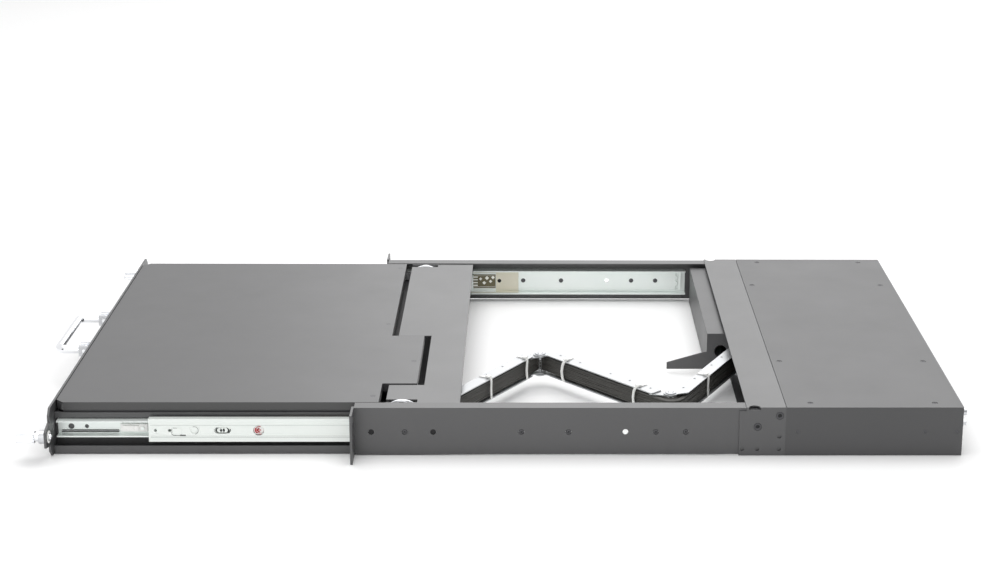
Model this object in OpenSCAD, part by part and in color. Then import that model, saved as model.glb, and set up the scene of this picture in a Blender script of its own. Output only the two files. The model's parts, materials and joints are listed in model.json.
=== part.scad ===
// Rackmount console drawer, one rack unit high, shown part way out with its lid shut.
// Frame: X to the operator's right, Y to the rear of the rack, Z up.
// Origin: centre of the rack-ear slot pattern, on the front face of the ears.
// The operator stands on the -Y side. Lengths are in millimetres.

/* [Rack frame] */
// Height of the rack unit
unit_h = 44; // [44:0.5:50]
// Distance between the left and right rack slots
slot_span = 465.1; // [464:0.1:466]
// Width of an ear outside the middle of its slots
ear_edge = 8.75; // [8:0.25:10]
// Distance from the middle of the slots in to the body's side
body_inset = 11.55; // [10.5:0.05:12.5]
// Distance between the upper and lower rack slots
slot_rise = 31.75; // [31:0.05:32.5]
// Length of a side rail, up to the bridge strip
rail_len = 338; // [334:1:360]
// Depth of the bridge strip, front to back
strip_d = 34; // [32:1:44]
// Depth of the switch box behind the bridge
box_d = 153; // [140:1:220]
// Thickness of the folded sheet steel
sheet = 1.2; // [1:0.1:1.4]

/* [Drawer] */
// How far the drawer stands out of the rack
drawer_out = 254; // [246:1:262]
// How far the drawer can still travel from there
drawer_more = 86; // [60:1:90]
// Height of the lid with its display
lid_h = 8.5; // [8:0.25:9]
// Distance from the body's side in to the lid's side
lid_inset = 15.2; // [15:0.1:19]
// Thickness of the front panel
panel_t = 2; // [1.5:0.25:3]
// Height of the front panel
panel_h = 43.6; // [42:0.1:43.8]

/* [Slides] */
// Height of the outer slide member
outer_h = 25.6; // [25.4:0.1:26]
// Height of the middle slide member
mid_h = 20.8; // [20.4:0.1:21]
// Height of the inner slide member
inner_h = 14.4; // [14:0.1:14.8]
// Sheet thickness of the slide members' flanges
race_t = 1; // [0.8:0.05:1]
// Length of the middle slide member
mid_len = 290; // [280:1:300]

/* [Cable arm] */
// Length of the rear link between its pivots
rear_link = 155.5; // [152:0.5:158]
// Length of the middle link between its pivots
middle_link = 155; // [152:0.5:156]
// Length of the front link between its pivots
front_link = 164; // [160:0.5:166]
// Width of a link across its flanges
link_w = 12.4; // [11.5:0.1:12.6]
// Height of a link
link_h = 20; // [19:0.25:21]
// Thickness of a link's sheet
link_t = 1; // [0.8:0.05:1.1]
// Radius of one cable in the arm
cable_r = 2.4; // [2:0.05:2.4]

/* [Handle] */
// Distance between the arms of the bow
bow_span = 90; // [80:1:110]
// Radius of the bow's bar
bow_r = 4; // [3:0.1:4]
// Distance from the bow's pivots to the middle of its bar
bow_reach = 25; // [22:0.5:27]

/* [Keys] */
// Width of the key field as a share of the keyboard's width
key_field_share = 0.89; // [0.86:0.01:0.92]
// Gap between two keys
key_gap = 2.6; // [2.2:0.1:3]
// Travel of a key
key_travel = 2; // [1.5:0.1:2.5]

/* [Hidden] */
$fn = 40;
overrun = 1;
slide_drop = 0.8;
ear_span = slot_span + 2 * ear_edge;
body_w = slot_span - 2 * body_inset;
half_w = body_w / 2;
lid_w = body_w - 2 * lid_inset;
quarter = 90;
half_turn = 180;
mid_z = unit_h / 2;
slide_z = mid_z - slide_drop;
rail_face = half_w - sheet;

// Ears and rails
ear_t = 2;
ear_slot_r = 3.5;
ear_slot_len = 10;
catch_r = 3.2;
rail_drop = 0.8;
rail_z0 = rail_drop;
rail_z1 = unit_h - rail_drop;
flange_w = 12.8;
slide_hole_r = 2.5;
open_hole_shares = [0.0485, 0.2053, 0.6932];
screw_hole_shares = [0.1331, 0.429, 0.5488, 0.7707, 0.847];
open_holes = rail_len * open_hole_shares;
screw_holes = rail_len * screw_hole_shares;
bay_half = rail_face - flange_w;

// Screws: each head fills its own hole, flush with the sheet
head_r = 2.4;
head_hole_r = 2.45;
ring_r = 3.4;
ring_hole_r = 3.45;

// Bridge and switch box
wing_front = 6;
corner_y0 = 2;
corner_r = 5;
box_front = rail_len + strip_d;
box_back = box_front + box_d;
tongue_front = 28.5;
wall_top = unit_h - sheet;
rim_h = 8;
rim_gap = 0.2;
wing_ring_in = 5.3;
wing_ring_z = 36.4;
wing_low_z = 5.9;
wing_mid_z = 17.5;
wing_ring2_y = 9.9;
wing_ring2_z = 26.3;
cover_screw_in = 11;
cover_screw_front = 8;
cover_screw_side = 22;
cover_screw_back = 13;
cover_far_share = 0.584;
cover_near_share = 0.466;
side_dimple_shares = [0.068, 0.787, 0.967];
dimple_r = 1.8;
cover_seam = 0.5;
board_t = 1.6;
board_rise = 7;
board_margin_x = 70;
board_front = 28;
board_back = 10;
post_r = 3;
post_in = 8;
chip_w = 32;
chip_h = 3;
coil_r = 7;
coil_h = 14;

// Rear ports
port_w = 17;
port_h = 9.4;
port_draft = 1.4;
port_out = 6;
port_pin_gap = 1.2;
port_nut_span = 25;
port_nut_r = 2.9;
port_nut_h = 4;
port_step = 46;
port_count = 3;
port_share = 0.543;
port_x0 = -half_w * port_share;
jack_x = half_w * port_share;
jack_r = 4;
jack_body = 11;
jack_bore = 2.8;
jack_out = 4;
ground_in = 9;
ground_x = half_w - ground_in;
ground_r = 3.4;
ground_out = 4;
hook_w = 7;
hook_h = 3.5;

// Shelf housing in front of the switch box
shelf_top = 39.3;
shelf_gap = 7.6;
shelf_side = 16.8;
shelf_far = half_w - shelf_side;
shelf_ahead = 16;
shelf_front = rail_len - shelf_ahead;
finger_len = 38.3;
finger_tip_h = 9;
finger_low = 2.2;
finger_root_h = 19.5;
grommet_y = 13.5;
grommet_z = 21.5;
grommet_r = 6;

// Slide members, from the rail inwards
outer_x1 = rail_face - sheet;
outer_x0 = outer_x1 - sheet;
outer_reach = 9.8;
outer_front = 2;
outer_short = 22;
outer_len = rail_len - outer_short;
cage_step = 0.4;
cage_t = 0.6;
race_gap = outer_x0 - cage_step * 2 - cage_t;
mid_x1 = race_gap;
mid_x0 = mid_x1 - sheet;
mid_reach = 5.6;
inner_tip = mid_x0 - cage_step * 2 - cage_t;
slide_room = 13.8;
tray_half = outer_x1 - slide_room;
pan_gap = 2;
pan_half = outer_x1 - pan_gap;
pan_top = 7.4;
inner_web = tray_half + sheet;
mid_share = 0.685;
mid_front = -mid_share * drawer_out;
inner_len = 345;
inner_front = 1;
ball_r_outer = 0.4;
ball_r_inner = 0.8;
ball_step = 8;
cage_outer_y0 = 60;
cage_outer_len = 80;
cage_inner_y0 = -60;
cage_inner_len = 120;
cage_lip = 6;
inner_hole_shares = [0.0325, 0.071];
inner_hole_r = 2.6;
inner_hole_fade = 0.8;
inner_rivet_step = 108;
mid_dot_step = 6;
mid_dot_r = 1.3;
mid_hole_in = 39;
mid_hole_r = 4;
mid_slot_in = 63;
mid_slot_len = 12;
mid_slot_r = 2.5;
latch_in = 78;
latch_len = 18;
latch_tip = 4;
latch_w = 4.6;
latch_pin_r = 1.2;
latch_play = 0.2;
latch_window_r = 4.6;
pin_play = 0.05;
lever_in = 54;
lever_len = 23.4;
lever_h = 6;
lever_d = 5;
lever_pin_r = 1.5;
lever_pin_in = 4.4;
lever_play = 0.4;

// Drawer: everything here is placed from the closed drawer, then moved out
panel_gap = 1.2;
panel_back = -drawer_out - panel_gap;
panel_front = panel_back - panel_t;
panel_over = 5;
panel_w = body_w + 2 * panel_over;
panel_chamfer = 5.5;
panel_z0 = (unit_h - panel_h) / 2;
tab_root_h = 24;
tab_tip_h = 14.4;
tray_z0 = 0.3;
ledge_z1 = 34.2;
ledge_out = 2.2;
ledge_lip = 4.8;
tray_short = 58;
tray_side_short = 20;
tray_rear = rail_len - tray_short - drawer_out;
tray_side_end = rail_len - tray_side_short - drawer_out;
arm_notch_h = 9;
arm_notch_w = 8;

// Lid, hinge and hinge cover
lid_z0 = 34.5;
lid_z1 = lid_z0 + lid_h;
lid_setback = 7.2;
lid_lip = 6.9;
lid_front = panel_back + lid_setback;
cover_tuck = 8;
cover_rear = rail_len + cover_tuck - drawer_out;
cover_top = 42.4;
cover_over = 1.6;
cover_half = tray_half + cover_over;
cover_lip = 1.5;
hinge_inset = 50;
hinge_y = cover_rear - hinge_inset;
hinge_rise = 0.5;
hinge_z = lid_z0 + hinge_rise;
lid_short = 20;
lid_rear = hinge_y - lid_short;
cover_ahead = 14;
cover_front = hinge_y - cover_ahead;
notch_past = 17;
cover_notch_rear = hinge_y + notch_past;
notch_side = 43.8;
notch_w = 134;
notch_x1 = tray_half - notch_side;
notch_x0 = notch_x1 - notch_w;
tongue_past = 10.5;
tongue_rear = hinge_y + tongue_past;
tongue_gap = 2;
tongue_x0 = notch_x0 + tongue_gap;
tongue_x1 = notch_x1 - tongue_gap;
knuckle_r = 8;
knuckle_in = 0.8;
knuckle_slot_w = 7;
knuckle_slot_x1 = tray_half - knuckle_in;
knuckle_slot_x0 = knuckle_slot_x1 - knuckle_slot_w;
knuckle_past = 13;
knuckle_slot_rear = hinge_y + knuckle_past;
bracket_t = 1.2;
bracket_low = 6;
arm_gap = 0.6;
hinge_arm_t = 1.6;
hinge_arm_x1 = tray_half - sheet - bracket_t - arm_gap;
hinge_arm_x0 = hinge_arm_x1 - hinge_arm_t;
hinge_arm_len = 60;
hinge_pin_r = 3;
lid_skin = 1.2;
bezel_t = 1.6;
display_side = 6.8;
display_rear = 26;
display_w = lid_w - 2 * display_side;
display_t = 4.4;
view_side = 8;
view_end = 8.5;
view_w = display_w - 2 * view_side;
display_front = 12;
display_d = lid_rear - lid_front - display_front - display_rear;
view_d = display_d - 2 * view_end;
menu_r = 3;
menu_count = 5;
menu_pitch = 14;
menu_in = 12;
menu_y = lid_rear - menu_in;
menu_out = 0.7;
menu_play = 0.3;
menu_head = 1;
lid_screw_in = 6;
lid_screw_shares = [-0.923, -0.029, 0.923];
tongue_screw_share = 0.546;
lid_screw_places = concat(
    [for (s = lid_screw_shares) [s * lid_w / 2, lid_rear - lid_screw_in]],
    [[tongue_x0 + tongue_screw_share * (tongue_x1 - tongue_x0), tongue_rear - lid_screw_in]]
);

// Keyboard
frame_play = 0.4;
frame_half = tray_half - sheet - frame_play;
frame_top = 26;
frame_t = 2;
frame_front = panel_back + sheet + frame_play;
frame_rear = tray_rear - sheet - frame_play;
key_stand = 1;
key_top = frame_top + key_travel + key_stand;
key_base = 22.4;
key_play = 0.4;
key_draft = 1.4;
block_units = 0.54;
row_gap = 3;
main_units = 15;
pad_units = 4;
key_pitch = 2 * frame_half * key_field_share / (main_units + pad_units + block_units);
field_w = (main_units + pad_units + block_units) * key_pitch;
field_x0 = -field_w / 2;
field_margin = 8;
field_rear = frame_rear - field_margin;
key_width_shares = [
    [for (i = [0:15]) main_units / 16],
    [for (i = [0:14]) i < 13 ? 1 : (i < 14 ? 2 : 0)],
    concat([1.5], [for (i = [0:11]) 1], [1.5]),
    concat([1.75], [for (i = [0:10]) 1], [2.25]),
    concat([2.25], [for (i = [0:9]) 1], [2.75]),
    [1.25, 1.25, 1.25, 6.25, 1.25, 1.25, 1.25, 1.25]
];
space_row = 5;
space_index = 3;
pad_share = 0.2264;
pad_w = 2 * frame_half * pad_share;
pad_d = 52;
pad_t = 1;
pad_recess_play = 0.3;
pad_setback = 42;
pad_front = frame_front + pad_setback;
pad_button_d = 12;
pad_button_gap = 1;
pad_button_drop = 3;
bumper_r = 4;
bumper_in = 9;
bumper_gap = 0.3;

// Handle and thumbscrews
bow_corner = 6;
pivot_out = 6.5;
pivot_y = panel_front - pivot_out;
pivot_z = 35;
pivot_pin_r = 2;
cheek_t = 2;
cheek_gap = 0.5;
cheek_h = 10;
foot_t = 1.5;
foot_h = 14;
screw_r = 2.45;
bushing_bore = 2.5;
bushing_r = 6;
bushing_len = 5.5;
screw_head_r = 5.5;
screw_neck_r = 4;
screw_neck_len = 3.5;
screw_head_len = 15.5;
screw_gap = 0.3;
screw_tip = 0.8;
bushing_flange_r = 4.6;
bushing_flange_t = 0.8;
clip_r = 2.9;
clip_t = 0.6;
clip_gap = 0.3;
groove_r = 0.5;
groove_count = 20;
tip_dome = 0.8;

// Cable arm: angles grow with the drawer's travel from shut
link_z0 = 12.5;
link_z1 = link_z0 + link_h;
fold_offset = 7.6;
pivot_side = 185.8;
pivot_x = tray_half - pivot_side;
shelf_near = pivot_x - shelf_gap;
pivot_ahead = 17.1;
rear_pivot = [pivot_x, box_front - pivot_ahead];
full_travel = drawer_out + drawer_more;
rear_swing = 36.142;
middle_swing = 57.034;
front_swing = 42.84;
middle_start = -0.3;
front_start = 0.3;
lobe_r = 6.5;
inner_lobe_r = 5.5;
outer_cut = 8;
inner_cut = 10.5;
lobe_step = 0.3;
rivet_r = 1.5;
rivet_head_r = 3.4;
rivet_head_t = 1.2;
post_r_rear = 3;
post_foot_r = 7;
post_foot_t = 3;
post_head_t = 1.2;
anchor_pin_r = 2;
anchor_z = 8;
anchor_reach = 12;
anchor_past = 9;
anchor_wall_y0 = hinge_y + anchor_past;
anchor_wall_h = 25;
anchor_slack = 0.6;
anchor_edge = 5;
anchor_tail = 1.2;
cable_shift = 2.2;
cable_step = 4.9;
lobe_back = 3;
tail_in = 20;
tail_bend = 10;
tie_w = 2.6;
tie_t = 0.8;
tie_gap = 0.2;
tie_head = 3.4;
tie_shares_rear = [0.64];
tie_shares_middle = [0.19, 0.8];
tie_shares_front = [0.12, 0.5];

// Shared helpers

// Heights inside are measured from the floor that the part rests on
module from_floor() {
    translate([0, 0, -mid_z]) children();
}

module block(low, high) {
    translate(low) cube(high - low);
}

module both_sides() {
    children();
    mirror([1, 0, 0]) children();
}

// A cylinder along X, centred on a point given as Y and Z
module bar_x(x0, x1, y, z, r) {
    translate([x0, y, z]) rotate([0, quarter, 0]) cylinder(h = x1 - x0, r = r);
}

module bar_y(x, y0, y1, z, r) {
    translate([x, y0, z]) rotate([-quarter, 0, 0]) cylinder(h = y1 - y0, r = r);
}

module slot_2d(len, r) {
    square([len - 2 * r, 2 * r], center = true);
    for (s = [-1, 1]) translate([s * (len / 2 - r), 0]) circle(r = r);
}

// Side rails

module rail() {
    ear_mid = slot_span / 2;
    difference() {
        union() {
            block([rail_face - sheet, 0, rail_z0], [rail_face, rail_len, rail_z1]);
            block([rail_face - sheet, rail_len, rail_z0], [rail_face, box_front, rail_z1 - sheet]);
            block([bay_half, ear_t, rail_z1 - sheet], [rail_face, rail_len, rail_z1]);
            block([rail_face - sheet, 0, 0], [ear_span / 2, ear_t, unit_h]);
        }
        for (s = [-1, 1])
            translate([ear_mid, -overrun, mid_z + s * slot_rise / 2])
                rotate([-quarter, 0, 0]) linear_extrude(ear_t + 2 * overrun)
                    slot_2d(ear_slot_len, ear_slot_r);
        bar_y(ear_mid, -overrun, ear_t + overrun, mid_z, catch_r);
        for (y = open_holes)
            bar_x(rail_face - sheet - overrun, rail_face + overrun, y, slide_z, slide_hole_r);
        for (y = screw_holes)
            bar_x(rail_face - sheet - overrun, rail_face + overrun, y, slide_z, head_hole_r);
    }
}

module rail_right() {
    color([0.25, 0.25, 0.26]) from_floor() rail();
}

module rail_left() {
    color([0.25, 0.25, 0.26]) from_floor() mirror([1, 0, 0]) rail();
}

// Slide members: C-sections nested in each other

module slide_outer() {
    z0 = slide_z - outer_h / 2;
    y1 = outer_front + outer_len;
    difference() {
        union() {
            block([outer_x0, outer_front, z0], [outer_x1, y1, z0 + outer_h]);
            for (z = [z0, z0 + outer_h - race_t])
                block([outer_x1 - outer_reach, outer_front, z], [outer_x1, y1, z + race_t]);
        }
        for (y = open_holes) bar_x(outer_x0 - overrun, outer_x1 + overrun, y, slide_z, slide_hole_r);
        for (y = screw_holes) bar_x(outer_x0 - overrun, outer_x1 + overrun, y, slide_z, head_hole_r);
    }
}

module slide_outer_right() {
    color([0.78, 0.82, 0.80]) from_floor() slide_outer();
}

module slide_outer_left() {
    color([0.78, 0.82, 0.80]) from_floor() mirror([1, 0, 0]) slide_outer();
}

module slide_mid() {
    z0 = slide_z - mid_h / 2;
    y1 = mid_front + mid_len;
    latch_y = mid_front + latch_in;
    difference() {
        union() {
            block([mid_x0, mid_front, z0], [mid_x1, y1, z0 + mid_h]);
            for (z = [z0, z0 + mid_h - race_t])
                block([mid_x1 - mid_reach, mid_front, z], [mid_x1, y1, z + race_t]);
        }
        for (i = [1, 3])
            bar_x(mid_x0 - overrun, mid_x1 + overrun, mid_front + i * mid_dot_step, slide_z, mid_dot_r);
        bar_x(mid_x0 - overrun, mid_x1 + overrun, mid_front + mid_hole_in, slide_z, mid_hole_r);
        translate([mid_x0 - overrun, mid_front + mid_slot_in, slide_z]) rotate([quarter, 0, quarter])
            linear_extrude(sheet + 2 * overrun) slot_2d(mid_slot_len, mid_slot_r);
        bar_x(mid_x0 - overrun, mid_x1 + overrun, latch_y + latch_len - latch_tip / 2, slide_z,
              latch_window_r);
    }
    bar_x(mid_x0 - latch_play - race_t, mid_x0, latch_y + latch_pin_r * 2, slide_z, latch_pin_r);
}

module slide_mid_right() {
    color([0.80, 0.84, 0.82]) from_floor() slide_mid();
}

module slide_mid_left() {
    color([0.80, 0.84, 0.82]) from_floor() mirror([1, 0, 0]) slide_mid();
}

module slide_inner() {
    z0 = slide_z - inner_h / 2;
    y0 = inner_front - drawer_out;
    y1 = y0 + inner_len;
    pin_y = y0 + lever_in + lever_len - lever_pin_in;
    difference() {
        union() {
            block([tray_half, y0, z0], [inner_web, y1, z0 + inner_h]);
            for (z = [z0, z0 + inner_h - race_t]) block([tray_half, y0, z], [inner_tip, y1, z + race_t]);
        }
        for (i = [0:1])
            bar_x(tray_half - overrun, inner_web + overrun, y0 + inner_hole_shares[i] * inner_len, slide_z,
                  inner_hole_r - i * inner_hole_fade);
    }
    bar_x(inner_web, inner_web + lever_play + lever_d, pin_y, slide_z, lever_pin_r);
    for (i = [1:3]) bar_x(inner_web, inner_web + race_t, y0 + i * inner_rivet_step, slide_z, head_r);
}

module slide_inner_right() {
    color([0.80, 0.84, 0.82]) from_floor() slide_inner();
}

module slide_inner_left() {
    color([0.80, 0.84, 0.82]) from_floor() mirror([1, 0, 0]) slide_inner();
}

// A ball cage: a strip behind a race, with lips and balls above and below
module cage(strip_x0, y0, len, inside_h, outside_h, r) {
    ball_z = (inside_h + outside_h) / 4;
    lip_z = ball_z - cage_t / 2;
    block([strip_x0, y0, slide_z - ball_z], [strip_x0 + cage_t, y0 + len, slide_z + ball_z]);
    for (s = [-1, 1]) {
        block([strip_x0 - cage_lip, y0, slide_z + s * ball_z - cage_t / 2],
              [strip_x0 + cage_t, y0 + len, slide_z + s * ball_z + cage_t / 2]);
        for (y = [y0 + ball_step / 2 : ball_step : y0 + len - ball_step / 2])
            translate([strip_x0 - cage_lip / 2, y, slide_z + s * ball_z]) sphere(r = r, $fn = 16);
    }
}

module ball_cage_side() {
    cage(mid_x1 + cage_step, cage_outer_y0, cage_outer_len, mid_h, outer_h - 2 * race_t, ball_r_outer);
}

module inner_cage_side() {
    cage(inner_tip + cage_step, cage_inner_y0, cage_inner_len, inner_h, mid_h - 2 * race_t, ball_r_inner);
}

module ball_cage_right() {
    color([0.75, 0.68, 0.50]) from_floor() ball_cage_side();
}

module ball_cage_left() {
    color([0.75, 0.68, 0.50]) from_floor() mirror([1, 0, 0]) ball_cage_side();
}

module inner_cage_right() {
    color([0.75, 0.68, 0.50]) from_floor() inner_cage_side();
}

module inner_cage_left() {
    color([0.75, 0.68, 0.50]) from_floor() mirror([1, 0, 0]) inner_cage_side();
}

// Lever in the mouth of the inner member that lets the drawer be lifted out
module release_lever() {
    y0 = inner_front - drawer_out + lever_in;
    difference() {
        block([inner_web + lever_play, y0, slide_z - lever_h / 2],
              [inner_web + lever_play + lever_d, y0 + lever_len, slide_z + lever_h / 2]);
        bar_x(inner_web, inner_web + lever_play + lever_d + overrun, y0 + lever_len - lever_pin_in, slide_z,
              lever_pin_r + pin_play);
        for (i = [1:4])
            block([inner_web + lever_play + lever_d - lever_play, y0 + i * lever_h / 3, slide_z - lever_h],
                  [inner_web + lever_play + lever_d + overrun, y0 + i * lever_h / 3 + lever_play * 2,
                   slide_z + lever_h]);
    }
}

module release_lever_right() {
    color([0.92, 0.93, 0.92]) from_floor() release_lever();
}

module release_lever_left() {
    color([0.92, 0.93, 0.92]) from_floor() mirror([1, 0, 0]) release_lever();
}

// Catch on the middle member: its red tip shows through a window
module slide_latch() {
    y0 = mid_front + latch_in;
    bar_x1 = mid_x0 - latch_play;
    difference() {
        block([bar_x1 - race_t, y0, slide_z - latch_w / 2],
              [bar_x1, y0 + latch_len, slide_z + latch_w / 2]);
        bar_x(bar_x1 - race_t - overrun, bar_x1 + overrun, y0 + latch_pin_r * 2, slide_z,
              latch_pin_r + pin_play);
    }
    block([bar_x1, y0 + latch_len - latch_tip, slide_z - latch_w / 2],
          [mid_x1 - latch_play, y0 + latch_len, slide_z + latch_w / 2]);
}

module slide_latch_right() {
    color([0.75, 0.08, 0.08]) from_floor() slide_latch();
}

module slide_latch_left() {
    color([0.75, 0.08, 0.08]) from_floor() mirror([1, 0, 0]) slide_latch();
}

// Bridge: a strip over the rear of the bay with a wing down each side
wing_rings = [[box_front - wing_ring_in, wing_ring_z], [rail_len + wing_ring2_y, wing_ring2_z]];
wing_dots = [[box_front - wing_ring_in, wing_mid_z], [box_front - wing_ring_in, wing_low_z],
    [rail_len + wing_ring2_y, wing_low_z], [rail_len - wing_front / 2, wing_low_z]];

module rear_bridge() {
    color([0.25, 0.25, 0.26]) from_floor() difference() {
        union() {
            block([-half_w, rail_len, wall_top], [half_w, box_front, unit_h]);
            both_sides() block([rail_face, rail_len - wing_front, 0], [half_w, box_front, wall_top]);
        }
        both_sides() {
            translate([half_w, rail_len + corner_y0 + corner_r, wall_top - sheet])
                cylinder(h = 2 * sheet + overrun, r = corner_r);
            block([rail_face - overrun, rail_len - wing_front - overrun, wall_top - corner_y0],
                  [half_w + overrun, rail_len, wall_top + overrun]);
            for (p = wing_rings) bar_x(rail_face - overrun, half_w + overrun, p[0], p[1], ring_hole_r);
            for (p = wing_dots) bar_x(rail_face - overrun, half_w + overrun, p[0], p[1], dimple_r);
        }
    }
}

// Switch box: an open chassis and a cover with an inner rim

cover_xs = [-half_w * cover_far_share, half_w * cover_near_share];
cover_ys = [box_front + cover_screw_side, box_back - cover_screw_side - sheet];
cover_screws = [
    for (x = cover_xs) [x, box_front + cover_screw_front],
    for (y = cover_ys) [half_w - cover_screw_in, y],
    for (y = cover_ys) [-half_w + cover_screw_in, y],
    for (x = cover_xs) [x, box_back - cover_screw_back]
];

port_places = [for (i = [0:port_count - 1]) port_x0 + i * port_step];
port_z = mid_z;

module port_outline(grow) {
    w = port_w / 2 + grow;
    h = port_h / 2 + grow;
    polygon([[-w, h], [w, h], [w - port_draft, -h], [-w + port_draft, -h]]);
}

module on_back() {
    translate([0, box_back, port_z]) rotate([-quarter, 0, half_turn]) children();
}

module switch_chassis() {
    color([0.24, 0.24, 0.25]) from_floor() difference() {
        union() {
            block([-half_w, box_front, 0], [half_w, box_back, sheet]);
            block([-tray_half, rail_len + strip_d - tongue_front, 0], [tray_half, box_front, sheet]);
            both_sides() block([rail_face, box_front, 0], [half_w, box_back, wall_top]);
            block([-half_w, box_front, 0], [half_w, box_front + sheet, wall_top]);
            block([-half_w, box_back - sheet, 0], [half_w, box_back, wall_top]);
        }
        for (x = port_places) {
            translate([x, box_back - sheet - overrun, port_z]) rotate([-quarter, 0, 0])
                linear_extrude(sheet + 2 * overrun) mirror([0, 1]) port_outline(0);
            for (s = [-1, 1])
                bar_y(x + s * port_nut_span / 2, box_back - sheet - overrun, box_back + overrun, port_z,
                      dimple_r);
        }
        bar_y(jack_x, box_back - sheet - overrun, box_back + overrun, port_z, jack_r);
        both_sides() for (s = side_dimple_shares)
            bar_x(rail_face - overrun, half_w + overrun, box_front + s * box_d, mid_z, dimple_r);
    }
}

module switch_cover() {
    color([0.26, 0.26, 0.27]) from_floor() {
        difference() {
            block([-half_w, box_front + cover_seam, wall_top], [half_w, box_back, unit_h]);
            for (p = cover_screws) translate([p[0], p[1], wall_top - overrun])
                cylinder(h = sheet + 2 * overrun, r = head_hole_r);
        }
        both_sides() block([rail_face - rim_gap - sheet, box_front + cover_screw_side, wall_top - rim_h],
                           [rail_face - rim_gap, box_back - cover_screw_side, wall_top]);
    }
}

module switch_board() {
    x = half_w - board_margin_x;
    y0 = box_front + board_front;
    y1 = box_back - board_back;
    z = sheet + board_rise;
    color([0.10, 0.35, 0.18]) from_floor() {
        block([-x, y0, z], [x, y1, z + board_t]);
        for (px = [-x + post_in, x - post_in])
            for (py = [y0 + post_in, y1 - post_in])
                translate([px, py, sheet]) cylinder(h = board_rise, r = post_r);
        for (s = [-1, 1])
            block([s * chip_w - chip_w / 2, (y0 + y1 - chip_w) / 2, z + board_t],
                  [s * chip_w + chip_w / 2, (y0 + y1 + chip_w) / 2, z + board_t + chip_h]);
        for (s = [-1, 1])
            translate([x - 4 * coil_r, (y0 + y1) / 2 + s * 2 * coil_r, z + board_t])
                cylinder(h = coil_h, r = coil_r);
    }
}

// Video sockets with their hex posts, a power jack and a ground post
module rear_ports() {
    inner = box_back - sheet - board_back;
    color([0.75, 0.76, 0.78]) from_floor() {
        for (x = port_places) {
            translate([x, inner, port_z]) rotate([-quarter, 0, 0])
                linear_extrude(board_back) mirror([0, 1]) port_outline(-port_pin_gap);
            translate([x, box_back - sheet, port_z]) rotate([-quarter, 0, 0])
                linear_extrude(sheet + port_out) mirror([0, 1]) difference() {
                    port_outline(-pin_play);
                    port_outline(-port_pin_gap);
                }
            translate([x, box_back - sheet, port_z]) rotate([-quarter, 0, 0])
                linear_extrude(sheet) mirror([0, 1]) port_outline(-port_pin_gap);
            for (s = [-1, 1]) {
                translate([x + s * port_nut_span / 2, box_back, port_z]) rotate([-quarter, 0, 0])
                    cylinder(h = port_nut_h, r = port_nut_r, $fn = 6);
                bar_y(x + s * port_nut_span / 2, box_back - sheet, box_back, port_z, dimple_r - pin_play);
            }
        }
        difference() {
            union() {
                bar_y(jack_x, inner, box_back + jack_out, port_z, jack_r - pin_play);
                block([jack_x - jack_body / 2, inner, port_z - jack_body / 2],
                      [jack_x + jack_body / 2, box_back - sheet, port_z + jack_body / 2]);
            }
            bar_y(jack_x, box_back - sheet, box_back + jack_out + overrun, port_z, jack_bore);
        }
        bar_y(ground_x, box_back, box_back + ground_out, unit_h - ground_r * 2, ground_r);
        block([ground_x - hook_w / 2, box_back, mid_z + hook_h],
              [ground_x + hook_w / 2, box_back + ground_out, mid_z + 2 * hook_h]);
    }
}

// Housing in front of the switch box, with a finger that reaches forward
module shelf_housing() {
    color([0.22, 0.22, 0.23]) from_floor() difference() {
        union() {
            block([-shelf_far, shelf_front, shelf_top - sheet], [shelf_near, box_front, shelf_top]);
            block([-shelf_far, shelf_front, sheet], [shelf_near, shelf_front + sheet, shelf_top]);
            translate([shelf_near - sheet, 0, sheet]) rotate([quarter, 0, quarter]) linear_extrude(sheet)
                polygon([[shelf_front - finger_len, finger_low], [shelf_front, finger_low],
                         [shelf_front, 0], [box_front, 0], [box_front, shelf_top - sheet],
                         [shelf_front, shelf_top - sheet], [shelf_front, finger_root_h],
                         [shelf_front - sheet * 2, finger_root_h],
                         [shelf_front - finger_len, finger_tip_h]]);
        }
        bar_x(shelf_near - sheet - overrun, shelf_near + overrun, shelf_front + grommet_y, grommet_z,
              grommet_r);
        block([-shelf_far - overrun, box_front - tongue_front - overrun, 0],
              [-shelf_far, box_front, sheet]);
    }
}

module frame_screws() {
    color([0.20, 0.20, 0.21]) from_floor() {
        for (p = cover_screws) translate([p[0], p[1], wall_top]) cylinder(h = sheet, r = head_r);
        both_sides() {
            for (p = wing_rings) bar_x(rail_face, half_w, p[0], p[1], ring_r);
            for (y = screw_holes) bar_x(outer_x0, rail_face, y, slide_z, head_r);
            for (i = [0, 1]) bar_x(outer_x0, outer_x1, open_holes[i], slide_z, slide_hole_r - pin_play);
            for (s = side_dimple_shares)
                bar_x(rail_face, half_w, box_front + s * box_d, mid_z, dimple_r - pin_play);
        }
    }
}

// Post on the base that carries the rear link of the cable arm
module arm_post() {
    color([0.7, 0.7, 0.72]) from_floor() translate([rear_pivot[0], rear_pivot[1], sheet]) {
        cylinder(h = post_foot_t, r = post_foot_r);
        cylinder(h = link_z0 - lobe_step - sheet, r = post_r_rear + sheet);
        cylinder(h = link_z1 + lobe_step - sheet, r = post_r_rear);
        translate([0, 0, link_z1 + lobe_step - sheet]) cylinder(h = post_head_t, r = post_r_rear + sheet);
    }
}

// Front panel with a chamfered tab at each end

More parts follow.
